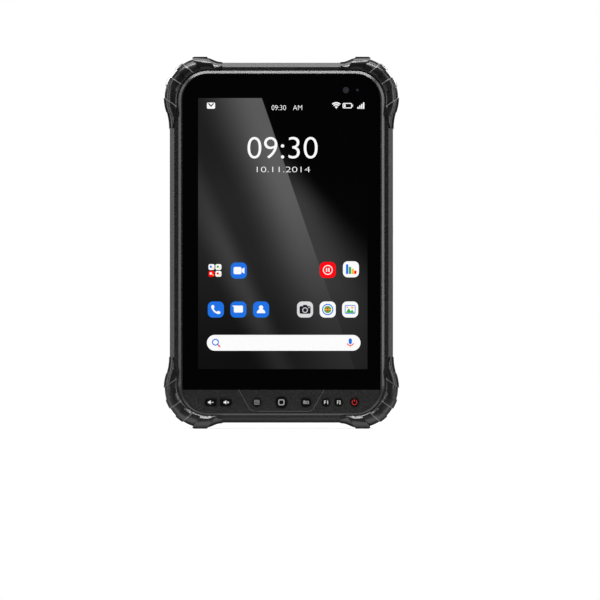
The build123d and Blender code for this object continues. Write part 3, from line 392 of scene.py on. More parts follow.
EDGE_BEVEL = 0.26
rubber = bumper_rubber()
for corner in ("top_left", "top_right", "bottom_left", "bottom_right"):
    bumper = softened_copy(f"bumper_{corner}", f"rubber_{corner}", EDGE_BEVEL)
    bumper.data.materials.clear()
    bumper.data.materials.append(rubber)
    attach(bumper, "tablet")
    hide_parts(f"bumper_{corner}")
    print(bumper.name, "faces before its bevel:", len(bumper.data.polygons))

# %% [markdown]
# ## The glass and the lit screen
# Cover glass is nearly flawless: it is black where ink is printed behind it, and its gloss shows only
# where it mirrors a light.  The picture below it shines by itself, so it belongs in the emission and
# not in the base colour.  The wallpaper is a formula: two straight beams cross a dark field, a wide one
# with a sharp right edge and a soft narrow one.  Levels are written as screen values from 0 to 255, and
# one power turns them into light.

# %% Screen area and wallpaper
SCREEN_MID_X, SCREEN_HALF_W = 0.9, 53.8
SCREEN_LOW, SCREEN_TOP = 38.0, 210.2
BEAM_LEAN, BEAM_X = 0.343, -12.35      # the sharp edge: millimetres right for each one down, and its top
SOFT_LEAN, SOFT_X, SOFT_Z = 0.456, -45.6, 136.5    # the soft beam: its lean, and a point of its middle
PICTURE_FRONT = -10.35         # only the glass's own face shows the picture
SCREEN_GAMMA = 2.2


def cover_glass():
    finish = Finish("cover_glass", Roughness=0.05, Specular_IOR_Level=0.35, Emission_Strength=1.0)
    x, y, z = finish.axes()
    from_edge = x - ((SCREEN_TOP - z) * BEAM_LEAN + BEAM_X)
    from_soft = x - ((SOFT_Z - z) * SOFT_LEAN + SOFT_X)

    left_of_soft, right_of_soft = z.ramp(35, 130, 21, 40), z.ramp(45, 120, 32, 40)
    under = from_soft.ramp(-16, 6, left_of_soft, right_of_soft) - z.ramp(140, 190, 0, 6)
    left = under + from_edge.ramp(z.ramp(140, 200, -40, -47), -5) * z.ramp(20, 180, 11, 56)
    reach = z.ramp(60, 190, 70, 12)
    right = z.ramp(140, 192, 60, 6) * z.ramp(30, 110, 0.62, 1)
    right = right * (from_edge / reach).ramp(0, 1, 1, 0.12)
    beam = left + (right - left) * from_edge.ramp(-0.35, 0.35)
    crest = z.ramp(40, 75, 12, 22).smaller(z.ramp(110, 160, 22, 12))
    soft = from_soft.ramp(-18, 0) * from_soft.ramp(0, 13, 1, 0) * crest
    cloud = finish.noise(46, 2.0) * 6 - 3
    level = (beam + soft + cloud).larger(2.0)

    inside = (SCREEN_HALF_W - abs(x - SCREEN_MID_X)).over(0)
    inside = inside * (z - SCREEN_LOW).over(0) * (SCREEN_TOP - z).over(0) * (PICTURE_FRONT - y).over(0)
    light = inside * (level / 255) ** SCREEN_GAMMA
    smear = finish.noise(55, 3.0)
    return finish.feed(
        Base_Color=finish.blend(smear, grey(0.0001), grey(0.0003)),
        Roughness=smear * 0.05 + 0.02,
        Emission_Color=finish.blend(light, grey(0.0), grey(1.0)),
    )


dress("display_glass", cover_glass())
print("screen, mm:", 2 * SCREEN_HALF_W, "x", round(SCREEN_TOP - SCREEN_LOW, 1))

# %% [markdown]
# ## Flat cut shapes
# Screen signs and printed key legends have crisp outlines, so they are cut as thin sheets.  A 2D curve
# fills its outline and leaves inner outlines open as holes, which is how a sign maker's plotter works.
# Each sheet is a mesh before it is turned upright, and those of one colour are joined in one piece.

# %% Outlines, in millimetres
def disc(x, z, r, count=36):
    return [(x + r * math.cos(a), z + r * math.sin(a))
            for a in (2 * math.pi * i / count for i in range(count))]


def round_box(x, z, w, h, r, count=7):
    """A rectangle about a centre, its corners rounded."""
    points = []
    for quarter, (sx, sz) in enumerate(((1, 1), (-1, 1), (-1, -1), (1, -1))):
        for i in range(count):
            a = math.pi / 2 * (quarter + i / (count - 1))
            points.append((
                x + sx * (w / 2 - r) + r * math.cos(a), z + sz * (h / 2 - r) + r * math.sin(a),
            ))
    return points


def stroke(start, end, width, count=6):
    """A straight line with round ends."""
    (x0, z0), (x1, z1) = start, end
    way = math.atan2(z1 - z0, x1 - x0)
    points = []
    for (x, z), turn in ((start, math.pi / 2), (end, -math.pi / 2)):
        for i in range(count):
            a = way + turn + math.pi * i / (count - 1)
            points.append((x + width / 2 * math.cos(a), z + width / 2 * math.sin(a)))
    return points


def fan(x, z, inner, outer, start_deg, end_deg, count=14):
    """Part of a ring, or a slice of a disc where inner is 0."""
    turn = [math.radians(start_deg + (end_deg - start_deg) * i / count) for i in range(count + 1)]
    far = [(x + outer * math.cos(a), z + outer * math.sin(a)) for a in turn]
    near = [(x + inner * math.cos(a), z + inner * math.sin(a)) for a in reversed(turn)]
    return far + (near if inner else [(x, z)])


print("points of a disc:", len(disc(0, 0, 1)), "and of a rounded box:", len(round_box(0, 0, 2, 2, 0.5)))


# %% Cutting sheets
def flat_mesh(curve):
    """The filled mesh of a flat curve or text."""
    holder = bpy.data.objects.new("flat", curve)
    bpy.context.scene.collection.objects.link(holder)
    graph = bpy.context.evaluated_depsgraph_get()
    mesh = bpy.data.meshes.new_from_object(holder.evaluated_get(graph))
    bpy.data.objects.remove(holder)
    return mesh


def cut(*outlines):
    """A sheet of unit thickness in the XY plane: nested outlines are holes."""
    curve = bpy.data.curves.new("cut", "CURVE")
    curve.dimensions = "2D"
    curve.fill_mode = "BOTH"
    curve.extrude = 0.5
    for outline in outlines:
        line = curve.splines.new("POLY")
        line.points.add(len(outline) - 1)
        for point, (x, z) in zip(line.points, outline):
            point.co = (x, z, 0, 1)
        line.use_cyclic_u = True
    return flat_mesh(curve)


def lettering(text, x0, x1, z0, z1, weight=0.0):
    """Digits or a legend, fitted to a box."""
    curve = bpy.data.curves.new("lettering", "FONT")
    curve.body = text
    curve.extrude = 0.5
    curve.offset = weight
    mesh = flat_mesh(curve)
    xs = [v.co.x for v in mesh.vertices]
    zs = [v.co.y for v in mesh.vertices]
    scale_x = (x1 - x0) / (max(xs) - min(xs))
    scale_z = (z1 - z0) / (max(zs) - min(zs))
    shift = Matrix.Translation((x0 - min(xs) * scale_x, z0 - min(zs) * scale_z, 0))
    mesh.transform(shift @ Matrix.Diagonal((scale_x, scale_z, 1, 1)))
    return mesh


# %% Joining sheets and standing them up
UPRIGHT = Matrix.Rotation(math.radians(90), 4, "X")


def lay_sheets(name, sheets, face_mm, thick_mm, material, body):
    """Joins sheets, stands them up on a face that looks along -Y, and lets them ride on a body."""
    shape = bmesh.new()
    for level, sheet in sheets:
        middle_y = face_mm - (level + 0.5) * thick_mm
        sheet.transform(
            Matrix.Translation((0, middle_y * MM, 0))
            @ UPRIGHT @ Matrix.Diagonal((MM, MM, thick_mm * MM, 1))
        )
        shape.from_mesh(sheet)
        bpy.data.meshes.remove(sheet)
    bmesh.ops.remove_doubles(shape, verts=shape.verts, dist=0.0005 * MM)
    bmesh.ops.dissolve_degenerate(shape, dist=0.0005 * MM, edges=shape.edges)
    bmesh.ops.recalc_face_normals(shape, faces=shape.faces)
    mesh = bpy.data.meshes.new(name)
    shape.to_mesh(mesh)
    shape.free()
    mesh.materials.append(material)
    piece = bpy.data.objects.new(name, mesh)
    bpy.context.scene.collection.objects.link(piece)
    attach(piece, body)
    return piece


# %% [markdown]
# ## What the screen shows
# A plain home screen: a clock, a status line, two rows of tiles and a search bar.  Every sign on it is
# a generic one.  Tiles are rounded squares, and their glyphs lie one sheet higher, so that nothing
# fights for the same plane.

# %% Tiles and the status line
TILE_W, TILE_R = 10.2, 3.1
STATUS_Z, ROW_1, ROW_2, BAR_Z = 205.4, 100.9, 75.85, 54.7
THIN, THINNER = -0.009, -0.012         # letters are drawn in by this much, to be as fine as on a screen
art = {colour: [] for colour in ("white", "blue", "red", "grey", "black", "green", "yellow")}


def put(colour, level, *outlines):
    art[colour].append((level, cut(*outlines)))


def tile(colour, x, z):
    put(colour, 0, round_box(x, z, TILE_W, TILE_W, TILE_R))


def status_line(z):
    envelope = -44.7
    put("white", 0, round_box(envelope, z, 5.2, 3.9, 0.7),
        [(envelope - 2.1, z + 1.5), (envelope, z - 0.9), (envelope + 2.1, z + 1.5),
         (envelope + 1.2, z + 1.5), (envelope, z + 0.25), (envelope - 1.2, z + 1.5)])
    art["white"].append((0, lettering("09:30", -6.2, 2.9, z - 2.8, z + 0.3, THINNER)))
    art["white"].append((0, lettering("AM", 7.4, 13.2, z - 2.8, z + 0.3, THINNER)))
    put("white", 0, fan(34.9, z - 1.9, 0, 1.5, 48, 132))
    for reach in (2.1, 3.3):
        put("white", 0, fan(34.9, z - 1.9, reach, reach + 0.85, 48, 132))
    put("white", 0, round_box(41.9, z, 6.0, 3.4, 0.9), round_box(41.9, z, 4.9, 2.3, 0.5))
    put("white", 0, round_box(45.25, z, 0.5, 1.3, 0.2))
    put("white", 0, round_box(40.3, z, 1.1, 1.7, 0.2))
    for step in range(4):
        height = 1.2 + step * 0.95
        put("white", 0, round_box(48.7 + step * 1.2, z - 2.0 + height / 2, 0.85, height, 0.15))


status_line(STATUS_Z)
print("signs in the status line:", len(art["white"]))


# %% Glyphs of the tiles
def phone_glyph(x, z):
    outline = (
        (-2.9, 2.3), (-2.2, 2.9), (-1.3, 2.8), (-0.8, 1.3), (-1.5, 0.6), (-0.6, -0.7), (0.6, -1.5),
        (1.3, -0.8), (2.8, -1.3), (2.9, -2.2), (2.2, -2.9), (0.9, -2.8), (-1.0, -1.7), (-2.2, -0.2),
        (-2.9, 1.2),
    )
    put("white", 1, [(x + dx, z + dz) for dx, dz in outline])


def message_glyph(x, z):
    put("white", 1, round_box(x, z + 0.3, 5.8, 4.4, 0.8))
    put("white", 1, [(x - 2.9, z + 1.6), (x - 4.0, z + 2.5), (x - 1.5, z + 2.5)])


def contact_glyph(x, z):
    put("white", 1, disc(x, z + 1.3, 1.35))
    put("white", 1, fan(x, z - 2.3, 0, 2.7, 0, 180))


def video_glyph(x, z):
    put("white", 1, round_box(x - 0.8, z, 5.0, 4.6, 1.0))
    put("white", 1, [(x + 1.9, z + 0.9), (x + 3.6, z + 2.0), (x + 3.6, z - 2.0), (x + 1.9, z - 0.9)])


def pause_glyph(x, z):
    put("white", 1, disc(x, z, 3.1), disc(x, z, 2.55))
    for side in (-1, 1):
        put("white", 1, round_box(x + side * 0.75, z, 0.75, 2.5, 0.25))


def chart_glyph(x, z):
    bars = (("blue", -2.4, 6.2), ("green", -0.6, 4.6), ("yellow", 1.2, 3.4), ("red", 2.8, 2.2))
    for colour, dx, height in bars:
        put(colour, 1, round_box(x + dx, z - 3.0 + height / 2, 1.5, height, 0.4))


def camera_glyph(x, z):
    put("black", 1, round_box(x, z - 0.25, 7.0, 4.9, 0.9), disc(x, z - 0.4, 1.75))
    put("black", 1, disc(x, z - 0.4, 1.25))
    put("black", 1, [(x - 1.5, z + 2.15), (x - 1.0, z + 3.0), (x + 1.0, z + 3.0), (x + 1.5, z + 2.15)])
    put("grey", 2, disc(x + 2.5, z + 1.3, 0.4))


def globe_glyph(x, z):
    put("blue", 1, disc(x, z, 3.6), disc(x, z, 2.9))
    put("green", 1, disc(x, z, 2.3))
    put("yellow", 2, stroke((x - 2.0, z), (x + 2.0, z), 0.55))
    put("red", 2, [(x, z + 2.1), (x + 0.8, z), (x, z - 2.1), (x - 0.8, z)])


def picture_glyph(x, z):
    put("blue", 1, round_box(x, z, 6.8, 5.6, 0.9), round_box(x, z, 5.9, 4.7, 0.5))
    put("green", 1, [(x - 2.8, z - 2.2), (x - 0.9, z + 0.9), (x + 0.4, z - 1.1), (x + 1.3, z - 0.1),
                     (x + 2.8, z - 2.2)])
    put("yellow", 1, disc(x + 1.3, z + 1.2, 0.75))
    put("red", 1, disc(x - 1.9, z + 1.5, 0.4))


def folder_of_tiles(x, z):
    """Four small tiles, each with a mark."""
    for dx, dz, colour, mark in (
        (-2.2, 2.15, "white", "blue"), (2.2, 2.15, "white", "green"),
        (-2.2, -2.15, "red", "white"), (2.2, -2.15, "white", "red"),
    ):
        put(colour, 0, round_box(x + dx, z + dz, 3.8, 3.7, 1.0))
        put(mark, 1, disc(x + dx - 0.4, z + dz + 0.2, 0.75))
        put("yellow", 1, disc(x + dx + 0.9, z + dz - 0.7, 0.42))


def search_bar(z):
    put("white", 0, round_box(1.5, z, 97.6, 10.05, 5.0, 14))
    put("blue", 1, disc(-41.9, z + 0.4, 2.2), disc(-41.9, z + 0.4, 1.5))
    put("red", 1, stroke((-40.2, z - 1.3), (-39.1, z - 2.4), 0.8))
    put("blue", 1, round_box(43.8, z + 1.0, 2.0, 3.7, 0.99))
    put("red", 1, fan(43.8, z + 0.5, 1.9, 2.5, 200, 340))
    put("yellow", 1, round_box(43.8, z - 2.6, 0.6, 1.1, 0.25))


# %% The home screen
art["white"].append((0, lettering("09:30", -21.5, 23.0, 171.8, 185.5, THIN)))
art["white"].append((0, lettering("10.11.2014", -15.6, 18.2, 163.1, 166.6, -0.016)))
folder_of_tiles(-42.2, 100.7)
for colour, x, z, glyph in (
    ("blue", -27.05, ROW_1 - 0.3, video_glyph), ("red", 29.5, ROW_1 + 0.1, pause_glyph),
    ("white", 44.2, ROW_1 + 0.5, chart_glyph), ("blue", -41.65, ROW_2, phone_glyph),
    ("blue", -27.3, ROW_2, message_glyph), ("blue", -12.9, ROW_2, contact_glyph),
    ("grey", 15.05, ROW_2, camera_glyph), ("white", 29.45, ROW_2, globe_glyph),
    ("white", 43.7, ROW_2, picture_glyph),
):
    tile(colour, x, z)
    glyph(x, z)
search_bar(BAR_Z)
print("sheets cut:", sum(len(sheets) for sheets in art.values()))

# %% Lit colours
GLASS_FACE, FILM_THICK = -10.4, 0.02
LIT = {
    "white": (1.0, 1.0, 1.0, 1), "blue": (0.012, 0.17, 0.80, 1), "red": (1.0, 0.0, 0.003, 1),
    "grey": (0.72, 0.72, 0.74, 1), "black": (0.012, 0.012, 0.014, 1),
    "green": (0.03, 0.42, 0.07, 1), "yellow": (1.0, 0.52, 0.01, 1),
}


def lit_film(colour):
    """A patch of the screen that shines, under the same gloss as the glass."""
    finish = Finish(f"lit_{colour}", Roughness=0.05, Specular_IOR_Level=0.35, Emission_Strength=1.0)
    dots = finish.noise(0.9, 1.0)
    finish.shader.inputs["Base Color"].default_value = grey(0.002)
    return finish.feed(Emission_Color=finish.blend(dots, dimmed(LIT[colour], 0.94), LIT[colour]))


for colour, sheets in art.items():
    lay_sheets(f"screen_{colour}", sheets, GLASS_FACE, FILM_THICK, lit_film(colour), "tablet")
print("screen signs:", {colour: len(sheets) for colour, sheets in art.items()})

# %% [markdown]
# ## Printed keys
# Each key is hard plastic with a soft sheen, and its sign is pad-printed ink a few hundredths of a
# millimetre thick.  A sign rides on its own key, so it goes down when the key is pressed.

# %% Key plastic
KEYS = ("volume_down", "volume_up", "menu", "home", "back", "f1", "f2", "power")

key_finish = Finish("key_plastic", Specular_IOR_Level=0.04)
key_grain = key_finish.noise(0.4, 2.0)
key_wear = key_finish.noise(5.0, 3.0, 0.6)
key_plastic = key_finish.feed(
    Base_Color=key_finish.blend(key_grain, grey(0.0012), grey(0.003)),
    Roughness=key_wear * 0.08 + 0.10,
    Normal=key_finish.bump(key_grain, 0.01, 0.35),
)
for key in KEYS:
    dress(f"key_{key}", key_plastic)
print("keys:", len(KEYS))


# %% Inks
def ink_with_painted_glow(name, colour, painted_glow_level):
    """Printed ink, slightly uneven.  Its brightness is a painted glow: most of its light is its own
    emission, over a dim base colour.
    """
    finish = Finish(name, Emission_Strength=painted_glow_level)
    flow = finish.noise(0.5, 2.0)
    return finish.feed(
        Base_Color=finish.blend(flow, dimmed(colour, 0.10), dimmed(colour, 0.14)),
        Emission_Color=finish.blend(flow, dimmed(colour, 0.86), colour),
        Roughness=flow * 0.15 + 0.4,
    )


# Each ink shines by a painted glow, at the strength given last.
white_ink = ink_with_painted_glow("white_ink", (0.90, 0.90, 0.90, 1), 0.8)
grey_ink = ink_with_painted_glow("grey_ink", (0.34, 0.34, 0.35, 1), 0.8)
dim_ink = ink_with_painted_glow("dim_ink", (0.20, 0.20, 0.205, 1), 0.8)
red_ink = ink_with_painted_glow("red_ink", (0.62, 0.008, 0.006, 1), 0.9)

# %% Signs of the keys
KEY_TOP, INK_THICK, SIGN_Z = -10.9, 0.03, 16.9


def loudspeaker(x, plus):
    """A loudspeaker that points left, then a minus or plus sign."""
    z = SIGN_Z
    sheets = [
        cut([(x - 1.8, z - 0.5), (x - 1.1, z - 0.5), (x - 0.1, z - 1.35), (x - 0.1, z + 1.35),
             (x - 1.1, z + 0.5), (x - 1.8, z + 0.5)]),
        cut(round_box(x + 1.0, z, 1.3, 0.4, 0.1)),
    ]
    if plus:
        sheets.append(cut(round_box(x + 1.0, z, 0.4, 1.3, 0.1)))
    return sheets


def menu_sign(x):
    rows = [round_box(x, SIGN_Z + dz, 3.3, 0.5, 0.15) for dz in (-1.25, -0.42, 0.42, 1.25)]
    return [cut(*rows)] + [cut(round_box(x + dx, SIGN_Z, 0.4, 3.0, 0.15)) for dx in (-1.5, 1.5)]


def home_sign(x):
    return [cut(round_box(x, SIGN_Z, 4.0, 3.8, 1.1), round_box(x, SIGN_Z, 2.7, 2.5, 0.55))]


def back_sign(x):
    """A bent arrow that comes back to the left."""
    z = SIGN_Z
    lines = [((x - 0.9, z + 0.65), (x + 1.7, z + 0.65)), ((x + 1.7, z + 0.65), (x + 1.7, z - 0.8)),
             ((x + 1.7, z - 0.8), (x - 1.7, z - 0.8)), ((x - 1.7, z - 0.1), (x + 0.8, z - 0.1))]
    sheets = [cut(stroke(start, end, 0.38)) for start, end in lines]
    return sheets + [cut([(x - 2.0, z + 0.65), (x - 0.8, z + 1.4), (x - 0.8, z - 0.05)])]


def power_sign(x):
    return [cut(fan(x, SIGN_Z, 1.35, 1.72, 125, 415, 28)),
            cut(round_box(x, SIGN_Z + 1.1, 0.4, 1.7, 0.15))]


def legend(text, x, width):
    return [lettering(text, x - width / 2, x + width / 2, SIGN_Z - 1.1, SIGN_Z + 1.1)]


# %% Legends laid on their keys
SIGNS = {
    "volume_down": (loudspeaker(-44.8, False), white_ink),
    "volume_up": (loudspeaker(-34.9, True), white_ink),
    "menu": (menu_sign(-15.6), dim_ink), "home": (home_sign(0.0), grey_ink),
    "back": (back_sign(15.65), grey_ink), "f1": (legend("F1", 28.4, 2.4), white_ink),
    "f2": (legend("F2", 36.6, 2.4), white_ink), "power": (power_sign(46.45), red_ink),
}
for key, (sheets, colour) in SIGNS.items():
    flat = [(0, sheet) for sheet in sheets]
    lay_sheets(f"legend_{key}", flat, KEY_TOP, INK_THICK, colour, f"key_{key}")
print("legends printed:", len(SIGNS))

# %% [markdown]
# A fine raised line frames the three middle keys.  Its crest gets a painted highlight: a paler, smoother
# skin of its own along the edge of the step.

# %% The painted highlight on the crest of the framing line
APRON_TOP, APRON_W = -10.55, 0.38
crest_highlight_paint = Finish("painted_crest_highlight", Specular_IOR_Level=0.6)
crest_mottle = crest_highlight_paint.noise(3.0, 3.0)
# A paler base colour than the housing's: a painted highlight along the crest.
painted_crest_highlight = crest_highlight_paint.feed(
    Base_Color=crest_highlight_paint.blend(crest_mottle, grey(0.030), grey(0.055)), Roughness=crest_mottle * 0.2 + 0.2,
)
APRON = [(-27.1, 24.8), (-20.0, 12.3), (-17.6, 11.2), (17.6, 11.2), (20.0, 12.3), (27.1, 24.8)]
line = [(0, cut(stroke(start, end, APRON_W))) for start, end in zip(APRON, APRON[1:])]
lay_sheets("apron_crest", line, APRON_TOP, INK_THICK, painted_crest_highlight, "tablet")
print("framing line, strokes:", len(line))

# %% [markdown]
# ## Lenses and windows
# The camera in the bezel is a ring of dark metal round a small lens behind black glass, and beside it
# sits a light sensor.  Both are flat discs just in front of the glass.  The camera in the back has
# coated glass with a violet cast, and the flash lens is cloudy plastic with fine rings.

# %% Bezel camera and sensor
def plain_finish(name, dark, light, size_mm, rough, **constants):
    """A finish with a slight mottle, for a surface seen at a glance."""
    finish = Finish(name, **constants)
    mottle = finish.noise(size_mm, 3.0)
    return finish.feed(
        Base_Color=finish.blend(mottle, dark, light),
        Roughness=mottle * 0.12 + (rough - 0.06),
    )


bezel_ring = plain_finish("bezel_ring", grey(0.018), grey(0.028), 0.4, 0.35, Metallic=0.6)
bezel_lens = plain_finish("bezel_lens", (0.012, 0.012, 0.02, 1), (0.02, 0.018, 0.03, 1), 1.0, 0.08)
CAMERA_X, SENSOR_X, BEZEL_Z, DISC_THICK = 41.05, 48.4, 215.3, 0.03
rim = [(0, cut(disc(CAMERA_X, BEZEL_Z, 2.0), disc(CAMERA_X, BEZEL_Z, 1.25)))]
lay_sheets("bezel_camera_ring", rim, GLASS_FACE, DISC_THICK, bezel_ring, "tablet")
pupils = [(0, cut(disc(CAMERA_X, BEZEL_Z, 1.2))), (0, cut(disc(SENSOR_X, BEZEL_Z, 0.8)))]
lay_sheets("bezel_lenses", pupils, GLASS_FACE, DISC_THICK, bezel_lens, "tablet")
print("bezel discs:", len(rim + pupils))

# %% Rear window and flash lens
rear_glass = Finish("rear_window", Specular_IOR_Level=0.6, Coat_Roughness=0.02)
coat = rear_glass.noise(6.0, 2.0)
dress("rear_camera_window", rear_glass.feed(
    Base_Color=rear_glass.blend(coat, (0.006, 0.004, 0.016, 1), (0.014, 0.008, 0.03, 1)),
    Roughness=coat * 0.04 + 0.02,
    Coat_Weight=coat * 0.2 + 0.8,
))

FLASH_X, FLASH_Z, RING_PITCH = 30, 205, 0.45
flash = Finish("flash_plastic", Specular_IOR_Level=0.5)
fx, _, fz = flash.axes()
from_middle = ((fx - FLASH_X) ** 2 + (fz - FLASH_Z) ** 2) ** 0.5
rings = (from_middle * (2 * math.pi / RING_PITCH)).sine() * 0.5 + 0.5
dress("flash_lens", flash.feed(
    Base_Color=flash.blend(rings, (0.62, 0.60, 0.50, 1), (0.80, 0.78, 0.66, 1)),
    Roughness=rings * 0.1 + 0.12,
    Normal=flash.bump(rings, 0.06, 0.5),
))
print("rings of the flash lens, mm apart:", RING_PITCH)

# %% [markdown]
# ## Metals
# Brushed metal is streaky along one direction, so its noise is stretched: the point is scaled before it
# reaches the noise.  Plated steel, brass and gold share one recipe and differ in colour and sheen.

# %% Metal finishes
def metal(name, colour, rough, streak=(1, 1, 1), grain_mm=0.3, stain=0.25):
    finish = Finish(name, Metallic=1.0, Specular_IOR_Level=0.5)
    place = {0: finish.place(), 1: streak}
    stretched = finish.node("ShaderNodeVectorMath", {"operation": "MULTIPLY"}, place)
    grain = {"Vector": stretched, "Scale": 1 / (grain_mm * MM), "Detail": 3.0}
    brushed = finish.node("ShaderNodeTexNoise", {}, grain)
    stains = finish.noise(3.5, 3.0, 0.6)
    return finish.feed(
        Base_Color=finish.blend(stains * 0.6 + brushed * 0.4, dimmed(colour, 1 - stain), colour),
        Roughness=brushed * 0.18 + stains * 0.08 + (rough - 0.13),
        Normal=finish.bump(brushed, 0.01, 0.4),
    )


blackened_steel = metal("blackened_steel", (0.050, 0.050, 0.053, 1), 0.38)
zinc_steel = metal("zinc_steel", (0.55, 0.56, 0.57, 1), 0.30)
stainless = metal("stainless", (0.60, 0.60, 0.61, 1), 0.26, (1, 1, 0.12))
turned_brass = metal("turned_brass", (0.76, 0.55, 0.26, 1), 0.25, (1, 0.2, 1))
gold_plate = metal("gold_plate", (0.94, 0.66, 0.26, 1), 0.20)
anodised = metal("anodised_ring", (0.075, 0.075, 0.082, 1), 0.32, (1, 0.15, 1))
tinned_steel = metal("tinned_steel", (0.66, 0.67, 0.67, 1), 0.36, (0.15, 1, 1), 0.5)
tungsten = metal("tungsten", (0.30, 0.30, 0.31, 1), 0.42)
cast_magnesium = metal("cast_magnesium", (0.36, 0.37, 0.38, 1), 0.55, (1, 1, 1), 0.8, 0.3)
for node, finish in (
    ("housing_screws", blackened_steel), ("bumper_screws", blackened_steel),
    ("board_screws", zinc_steel), ("usb_socket", stainless),
    ("port_door_pin", stainless), ("card_door_pin", stainless),
    ("audio_socket", stainless), ("card_socket", stainless), ("bracket_inserts", turned_brass),
    ("dock_contacts", gold_plate), ("rear_camera_ring", anodised), ("board_shields", tinned_steel),
    ("vibration_motor", stainless), ("motor_rotor", tungsten), ("chassis_frame", cast_magnesium),
    ("key_switches", zinc_steel), ("rear_camera", anodised), ("front_camera", anodised),
):
    dress(node, finish)
print("nodes dressed so far:", len(dressed))

# %% [markdown]
# ## Boards, flexes and films
# A circuit board's solder mask is a dark green varnish over copper tracks.  The tracks are bands of a
# square-grid formula that shows in the colour and, a hair raised, in the bump.  Flexes are amber
# polyimide with long copper lines, and the battery wears a foil that wrinkles.

# %% Board varnish
def board_varnish(name, mask, track, pitch_mm):
    finish = Finish(name, Specular_IOR_Level=0.5)
    x, _, z = finish.axes()
    lanes_x = ((x / pitch_mm).bounce(0.5) - 0.36).over(0)
    lanes_z = ((z / pitch_mm).bounce(0.5) - 0.36).over(0)
    area = (finish.noise(9.0, 0.0) - 0.5).over(0)
    tracks = lanes_x * area + lanes_z * (1 - area)
    holes = (0.16 - finish.cells(2.4)).over(0)
    cover = finish.noise(1.5, 2.0) * 0.3 + tracks * 0.6
    return finish.feed(
        Base_Color=finish.blend(holes, finish.blend(cover, mask, track), (0.55, 0.45, 0.22, 1)),
        Roughness=tracks * 0.08 + 0.28,
        Metallic=holes * 0.8,
        Normal=finish.bump(tracks, 0.02, 0.6),
    )


green_board = board_varnish("green_board", (0.004, 0.045, 0.018, 1), (0.012, 0.11, 0.045, 1), 0.7)
dark_board = board_varnish("dark_board", (0.006, 0.008, 0.012, 1), (0.02, 0.024, 0.03, 1), 0.9)
for node, finish in (
    ("main_board", green_board), ("key_board", dark_board), ("port_board", green_board),
):
    dress(node, finish)
print("nodes dressed so far:", len(dressed))


# %% Flat cables
def flex_film(name, along):
    """Polyimide film with copper lines that run along x or z."""
    finish = Finish(name, Specular_IOR_Level=0.55)
    across = finish.axes()[2 if along == "x" else 0]
    lines = (across.bounce(0.25) - 0.11).over(0)
    tint = finish.noise(4.0, 2.0)
    film, copper = (0.26, 0.09, 0.012, 1), (0.62, 0.27, 0.06, 1)
    return finish.feed(
        Base_Color=finish.blend(lines * 0.7 + tint * 0.3, film, copper),
        Roughness=tint * 0.1 + 0.2,
        Normal=finish.bump(lines, 0.02, 0.5),
    )


for node, along in (("battery_flex", "x"), ("keypad_flex", "z"), ("display_flex", "z")):
    dress(node, flex_film(f"film_{node}", along))

# %% Battery foil and display films
foil = Finish("battery_foil", Specular_IOR_Level=0.5)
wrinkle = foil.noise(7.0, 4.0, 0.65)
crease = foil.cells(14.0, "DISTANCE_TO_EDGE").ramp(0.0, 0.06, 1.0, 0.0)
dress("battery_pack", foil.feed(
    Base_Color=foil.blend(wrinkle, (0.035, 0.036, 0.040, 1), (0.085, 0.088, 0.095, 1)),
    Roughness=wrinkle * 0.2 + 0.22,
    Normal=foil.bump(wrinkle + crease * 0.4, 0.15, 0.5),
))
dress("lcd_panel", plain_finish("lcd_film", grey(0.02), (0.03, 0.032, 0.04, 1), 12, 0.14))
dress("lcd_backlight", plain_finish("backlight_tray", grey(0.62), grey(0.72), 9, 0.3, Metallic=0.9))
dress("glass_adhesive", plain_finish("foam_tape", grey(0.006), grey(0.014), 0.25, 0.85))
print("nodes dressed so far:", len(dressed))

# %% [markdown]
# ## Hard plastics, seals and the rest
# What is left is small: black resin on chips and sockets, silicone seals and the key membrane, a fired
# ceramic antenna, a printed antenna, and the doors, whose tough rubbery skin matches the bumpers.

# %% Resins and rubbers
def soft_rubber(name, dark, light, rough):
    finish = Finish(name, Specular_IOR_Level=0.4)
    skin = finish.noise(0.35, 3.0)
    dust = finish.noise(6.0, 3.0, 0.6)
    return finish.feed(
        Base_Color=finish.blend(skin * 0.5 + dust * 0.5, dark, light),
        Roughness=dust * 0.15 + (rough - 0.07),
        Normal=finish.bump(skin, 0.04, 0.5),
    )


door_rubber = soft_rubber("door_rubber", grey(0.003), grey(0.010), 0.40)
dress("port_door", door_rubber)
dress("card_door", door_rubber)
for node, name, dark, light, rough in (
    ("housing_seal", "silicone_seal", (0.16, 0.16, 0.17, 1), (0.22, 0.22, 0.23, 1), 0.55),
    ("keypad_membrane", "key_membrane", (0.045, 0.046, 0.05, 1), (0.07, 0.071, 0.076, 1), 0.5),
):
    dress(node, soft_rubber(name, dark, light, rough))

for node, name, dark, light, size, rough in (
    ("board_components", "chip_resin", grey(0.010), grey(0.022), 0.3, 0.5),
    ("dock_connector", "connector_resin", grey(0.012), grey(0.026), 0.5, 0.42),
    ("speaker_box", "speaker_plastic", grey(0.015), grey(0.028), 0.6, 0.5),
    ("flash_led", "flash_phosphor", (0.75, 0.62, 0.10, 1), (0.88, 0.78, 0.22, 1), 0.2, 0.6),
    ("light_sensor", "sensor_resin", (0.02, 0.008, 0.012, 1), (0.035, 0.015, 0.02, 1), 0.5, 0.2),
    ("memory_card", "card_plastic", (0.008, 0.012, 0.03, 1), (0.014, 0.02, 0.045, 1), 1.0, 0.35),
    ("gnss_antenna", "fired_ceramic", (0.60, 0.52, 0.42, 1), (0.72, 0.64, 0.53, 1), 0.4, 0.6),
):
    dress(node, plain_finish(name, dark, light, size, rough))
dress("wifi_antenna", plain_finish(
    "printed_antenna", (0.42, 0.20, 0.08, 1), (0.62, 0.34, 0.16, 1), 1.2, 0.35, Metallic=0.7,
))
print("nodes dressed:", len(dressed))

